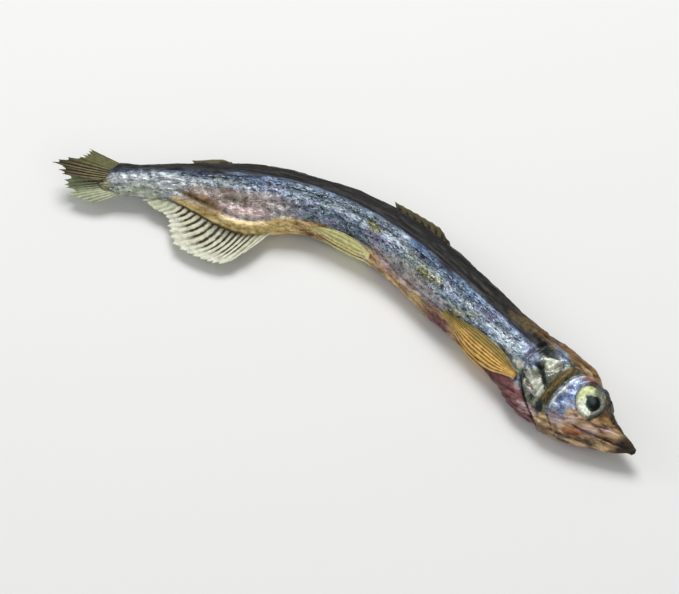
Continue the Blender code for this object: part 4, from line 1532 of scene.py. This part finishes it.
@dataclass
class Eye:
    """A shrunken eye: rim, wrinkled ring and a raised lens set towards the snout."""

    spine: Spine
    form: Form
    side: Side
    around: int = 96
    rings: int = 48

    def height(self, r: Array, a: Array) -> Array:
        """Height of the eye over the head at radius r and angle a, in millimetres."""
        out = 0.1 + 0.4 * fall(r, 0.86, 0.14) - 0.08 * fall(r, 0.6, 0.3)
        out -= 0.16 * bump(r - 0.52, 0.05)
        out += 0.34 * np.sqrt(np.clip(1 - (r / 0.46) ** 2, 0.0, 1.0))
        flat = np.stack((3 * r * np.cos(a), 3 * r * np.sin(a), 0 * r), axis=-1).reshape(-1, 3)
        ring = 0.12 + 0.88 * rise(r, 0.5, 0.1)
        out += 0.22 * Grain(61).layered(flat, (1.5, 1.5, 1.5), 3).reshape(r.shape) * ring
        return out + 0.04 * np.sin(a * 13 + 3 * np.sin(2 * a) + 4 * r) * bump(r - 0.78, 0.16)

    def build(self, finish: Material) -> Piece:
        """Build the eye as one closed piece."""
        form = self.form
        s0, y0 = form.eye_at
        radius = np.concatenate((np.linspace(0.03, 1.0, self.rings), [1.03, 1.03]))
        r, a = np.meshgrid(radius, turns(self.around), indexing="ij")
        lift = self.height(r, a)
        lift[-2], lift[-1] = -0.2, -1.5
        wobble = 0.035 * np.sin(3 * a + 0.6) + 0.02 * np.sin(5 * a) + 0.012 * np.sin(11 * a)
        wide = form.eye_radius * r * (1 + wobble * r) * (1 + 0.1 * np.sin(2 * a))
        s = s0 - form.pupil_ahead * (1 - np.minimum(r, 1.0) ** 2) + wide * np.cos(a)
        y = y0 + wide * np.sin(a)
        middle = s0 - form.pupil_ahead
        base, ahead = form.flank(np.array([s0, middle]), np.array([y0, y0])).tolist()
        z = self.side.value * (0.4 * base + 0.6 * form.flank(s, y) + 0.3 + lift)
        straight = np.stack((s.ravel(), y.ravel(), z.ravel()), axis=1)
        top = 0.4 * base + 0.6 * ahead + 0.3 + float(lift[0].mean())
        poles = [[middle, y0, self.side.value * top], [s0, y0, self.side.value * (base - 1.5)]]
        rear = smooth(0.5 + 0.5 * np.cos(a - math.radians(40)))
        # Painted shade: the side of the ring towards the snout and the crown is darkened.
        dim = rise(np.cos(a - math.radians(150)), -0.1, 0.7)
        tags = {"radius": np.append(r.ravel(), (0.0, 1.0)),
                "rear": np.append(rear.ravel(), (0.5, 0.5)),
                "dim": np.append(dim.ravel(), (0.0, 0.0))}
        return closed_piece("eye_" + self.side.label, self.spine, np.vstack((straight, poles)),
                            ring_faces(*r.shape), tags, finish)


# ---------------------------------------------------------------- studio


@dataclass(frozen=True)
class Studio:
    """Pale floor, soft light and the camera at the photograph's angle."""

    azimuth: float = 31.6
    elevation: float = 55.0
    distance: float = 1.6
    lens: float = 400.0
    sensor: float = 36.0
    aim: tuple = (-0.00245, -0.00938, 0.004)
    floor_size: float = 3.0
    floor_colour: str = "#F2F2F0"
    floor_cloud: str = "#E2E2DE"
    room_colour: str = "#F4F6F8"
    room_light: float = 0.34
    lamps: tuple = (
        ("key", (-0.25, 0.40, 0.78), 0.45, 5.8),
        ("fill", (0.65, -0.45, 0.55), 0.8, 1.3),
        ("edge", (-0.7, -0.15, 0.35), 0.3, 0.8),
    )

    def floor(self) -> Piece:
        """Lay the pale floor just under the fish."""
        half, under = self.floor_size / 2, -0.02 * MM
        corners = [(x * half, y * half, under) for x, y in ((-1, -1), (1, -1), (1, 1), (-1, 1))]
        piece = make_mesh("floor", np.array(corners), [(0, 1, 2, 3)])
        material, add, shader = new_material("matt_paper")
        place = add("ShaderNodeTexCoord", {}).outputs["Object"]
        cloud = add("ShaderNodeTexNoise", {"Vector": place, "Scale": 6.0})
        colour = overlay(add, linear(self.floor_colour), self.floor_cloud, cloud, 0.0, 1.0, 0.06)
        feed(shader, {"Base Color": colour, "Roughness": 0.9})
        piece.data.materials.append(material)
        return piece

    def lights(self) -> None:
        """Hang the soft key, the fill and the pale room light."""
        world = bpy.data.worlds.new("pale_room")
        world.use_nodes = True
        back = world.node_tree.nodes["Background"]
        feed(back, {"Color": linear(self.room_colour), "Strength": self.room_light})
        bpy.context.scene.world = world
        for name, where, size, power in self.lamps:
            lamp = bpy.data.lights.new(name, "AREA")
            lamp.size, lamp.energy = size, power
            holder = bpy.data.objects.new(name, lamp)
            holder.location = where
            holder.rotation_euler = (-Vector(where)).to_track_quat("-Z", "Y").to_euler()
            bpy.context.scene.collection.objects.link(holder)

    def camera(self) -> None:
        """Set the camera at the photograph's viewing angle."""
        az, el = math.radians(self.azimuth), math.radians(self.elevation)
        way = Vector((math.sin(az) * math.cos(el), -math.cos(az) * math.cos(el), math.sin(el)))
        lens = bpy.data.cameras.new("camera")
        lens.lens, lens.sensor_width = self.lens, self.sensor
        lens.clip_start, lens.clip_end = 0.01, 10.0
        holder = bpy.data.objects.new("camera", lens)
        holder.location = Vector(self.aim) + way * self.distance
        holder.rotation_euler = (-way).to_track_quat("-Z", "Y").to_euler()
        bpy.context.scene.collection.objects.link(holder)
        bpy.context.scene.camera = holder


def main() -> None:
    """Build the skin, scales, fins and eyes, tie them to the frame, then set up the studio."""
    logging.basicConfig(level=logging.INFO, format="%(name)s: %(message)s")
    bpy.context.scene.view_settings.view_transform = "Standard"
    spine, form = Spine(), Form()
    body = Body(spine, form)
    pieces = [body.build(SkinFinish().build())]
    # Raised scales: the eye sees slate blue with silver lights.
    silver = HornFinish("silver_scale", "#9AAAB8", "#2C3848").build()
    pieces += [ScaleRow(body, side).build(silver) for side in Side]
    looks = {look: look.build() for look in FinLook}
    for fin in Fins(spine, form).all():
        pieces += fin.build(*looks[fin.look])
    eye = EyeFinish().build()
    pieces += [Eye(spine, form, side).build(eye) for side in Side]
    for piece in pieces:
        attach(piece, BODY)
        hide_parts(NODE)
        log.info("%s: %d faces", piece.name, len(piece.data.polygons))
    studio = Studio()
    studio.floor()
    studio.lights()
    studio.camera()


if __name__ == "__main__":
    main()
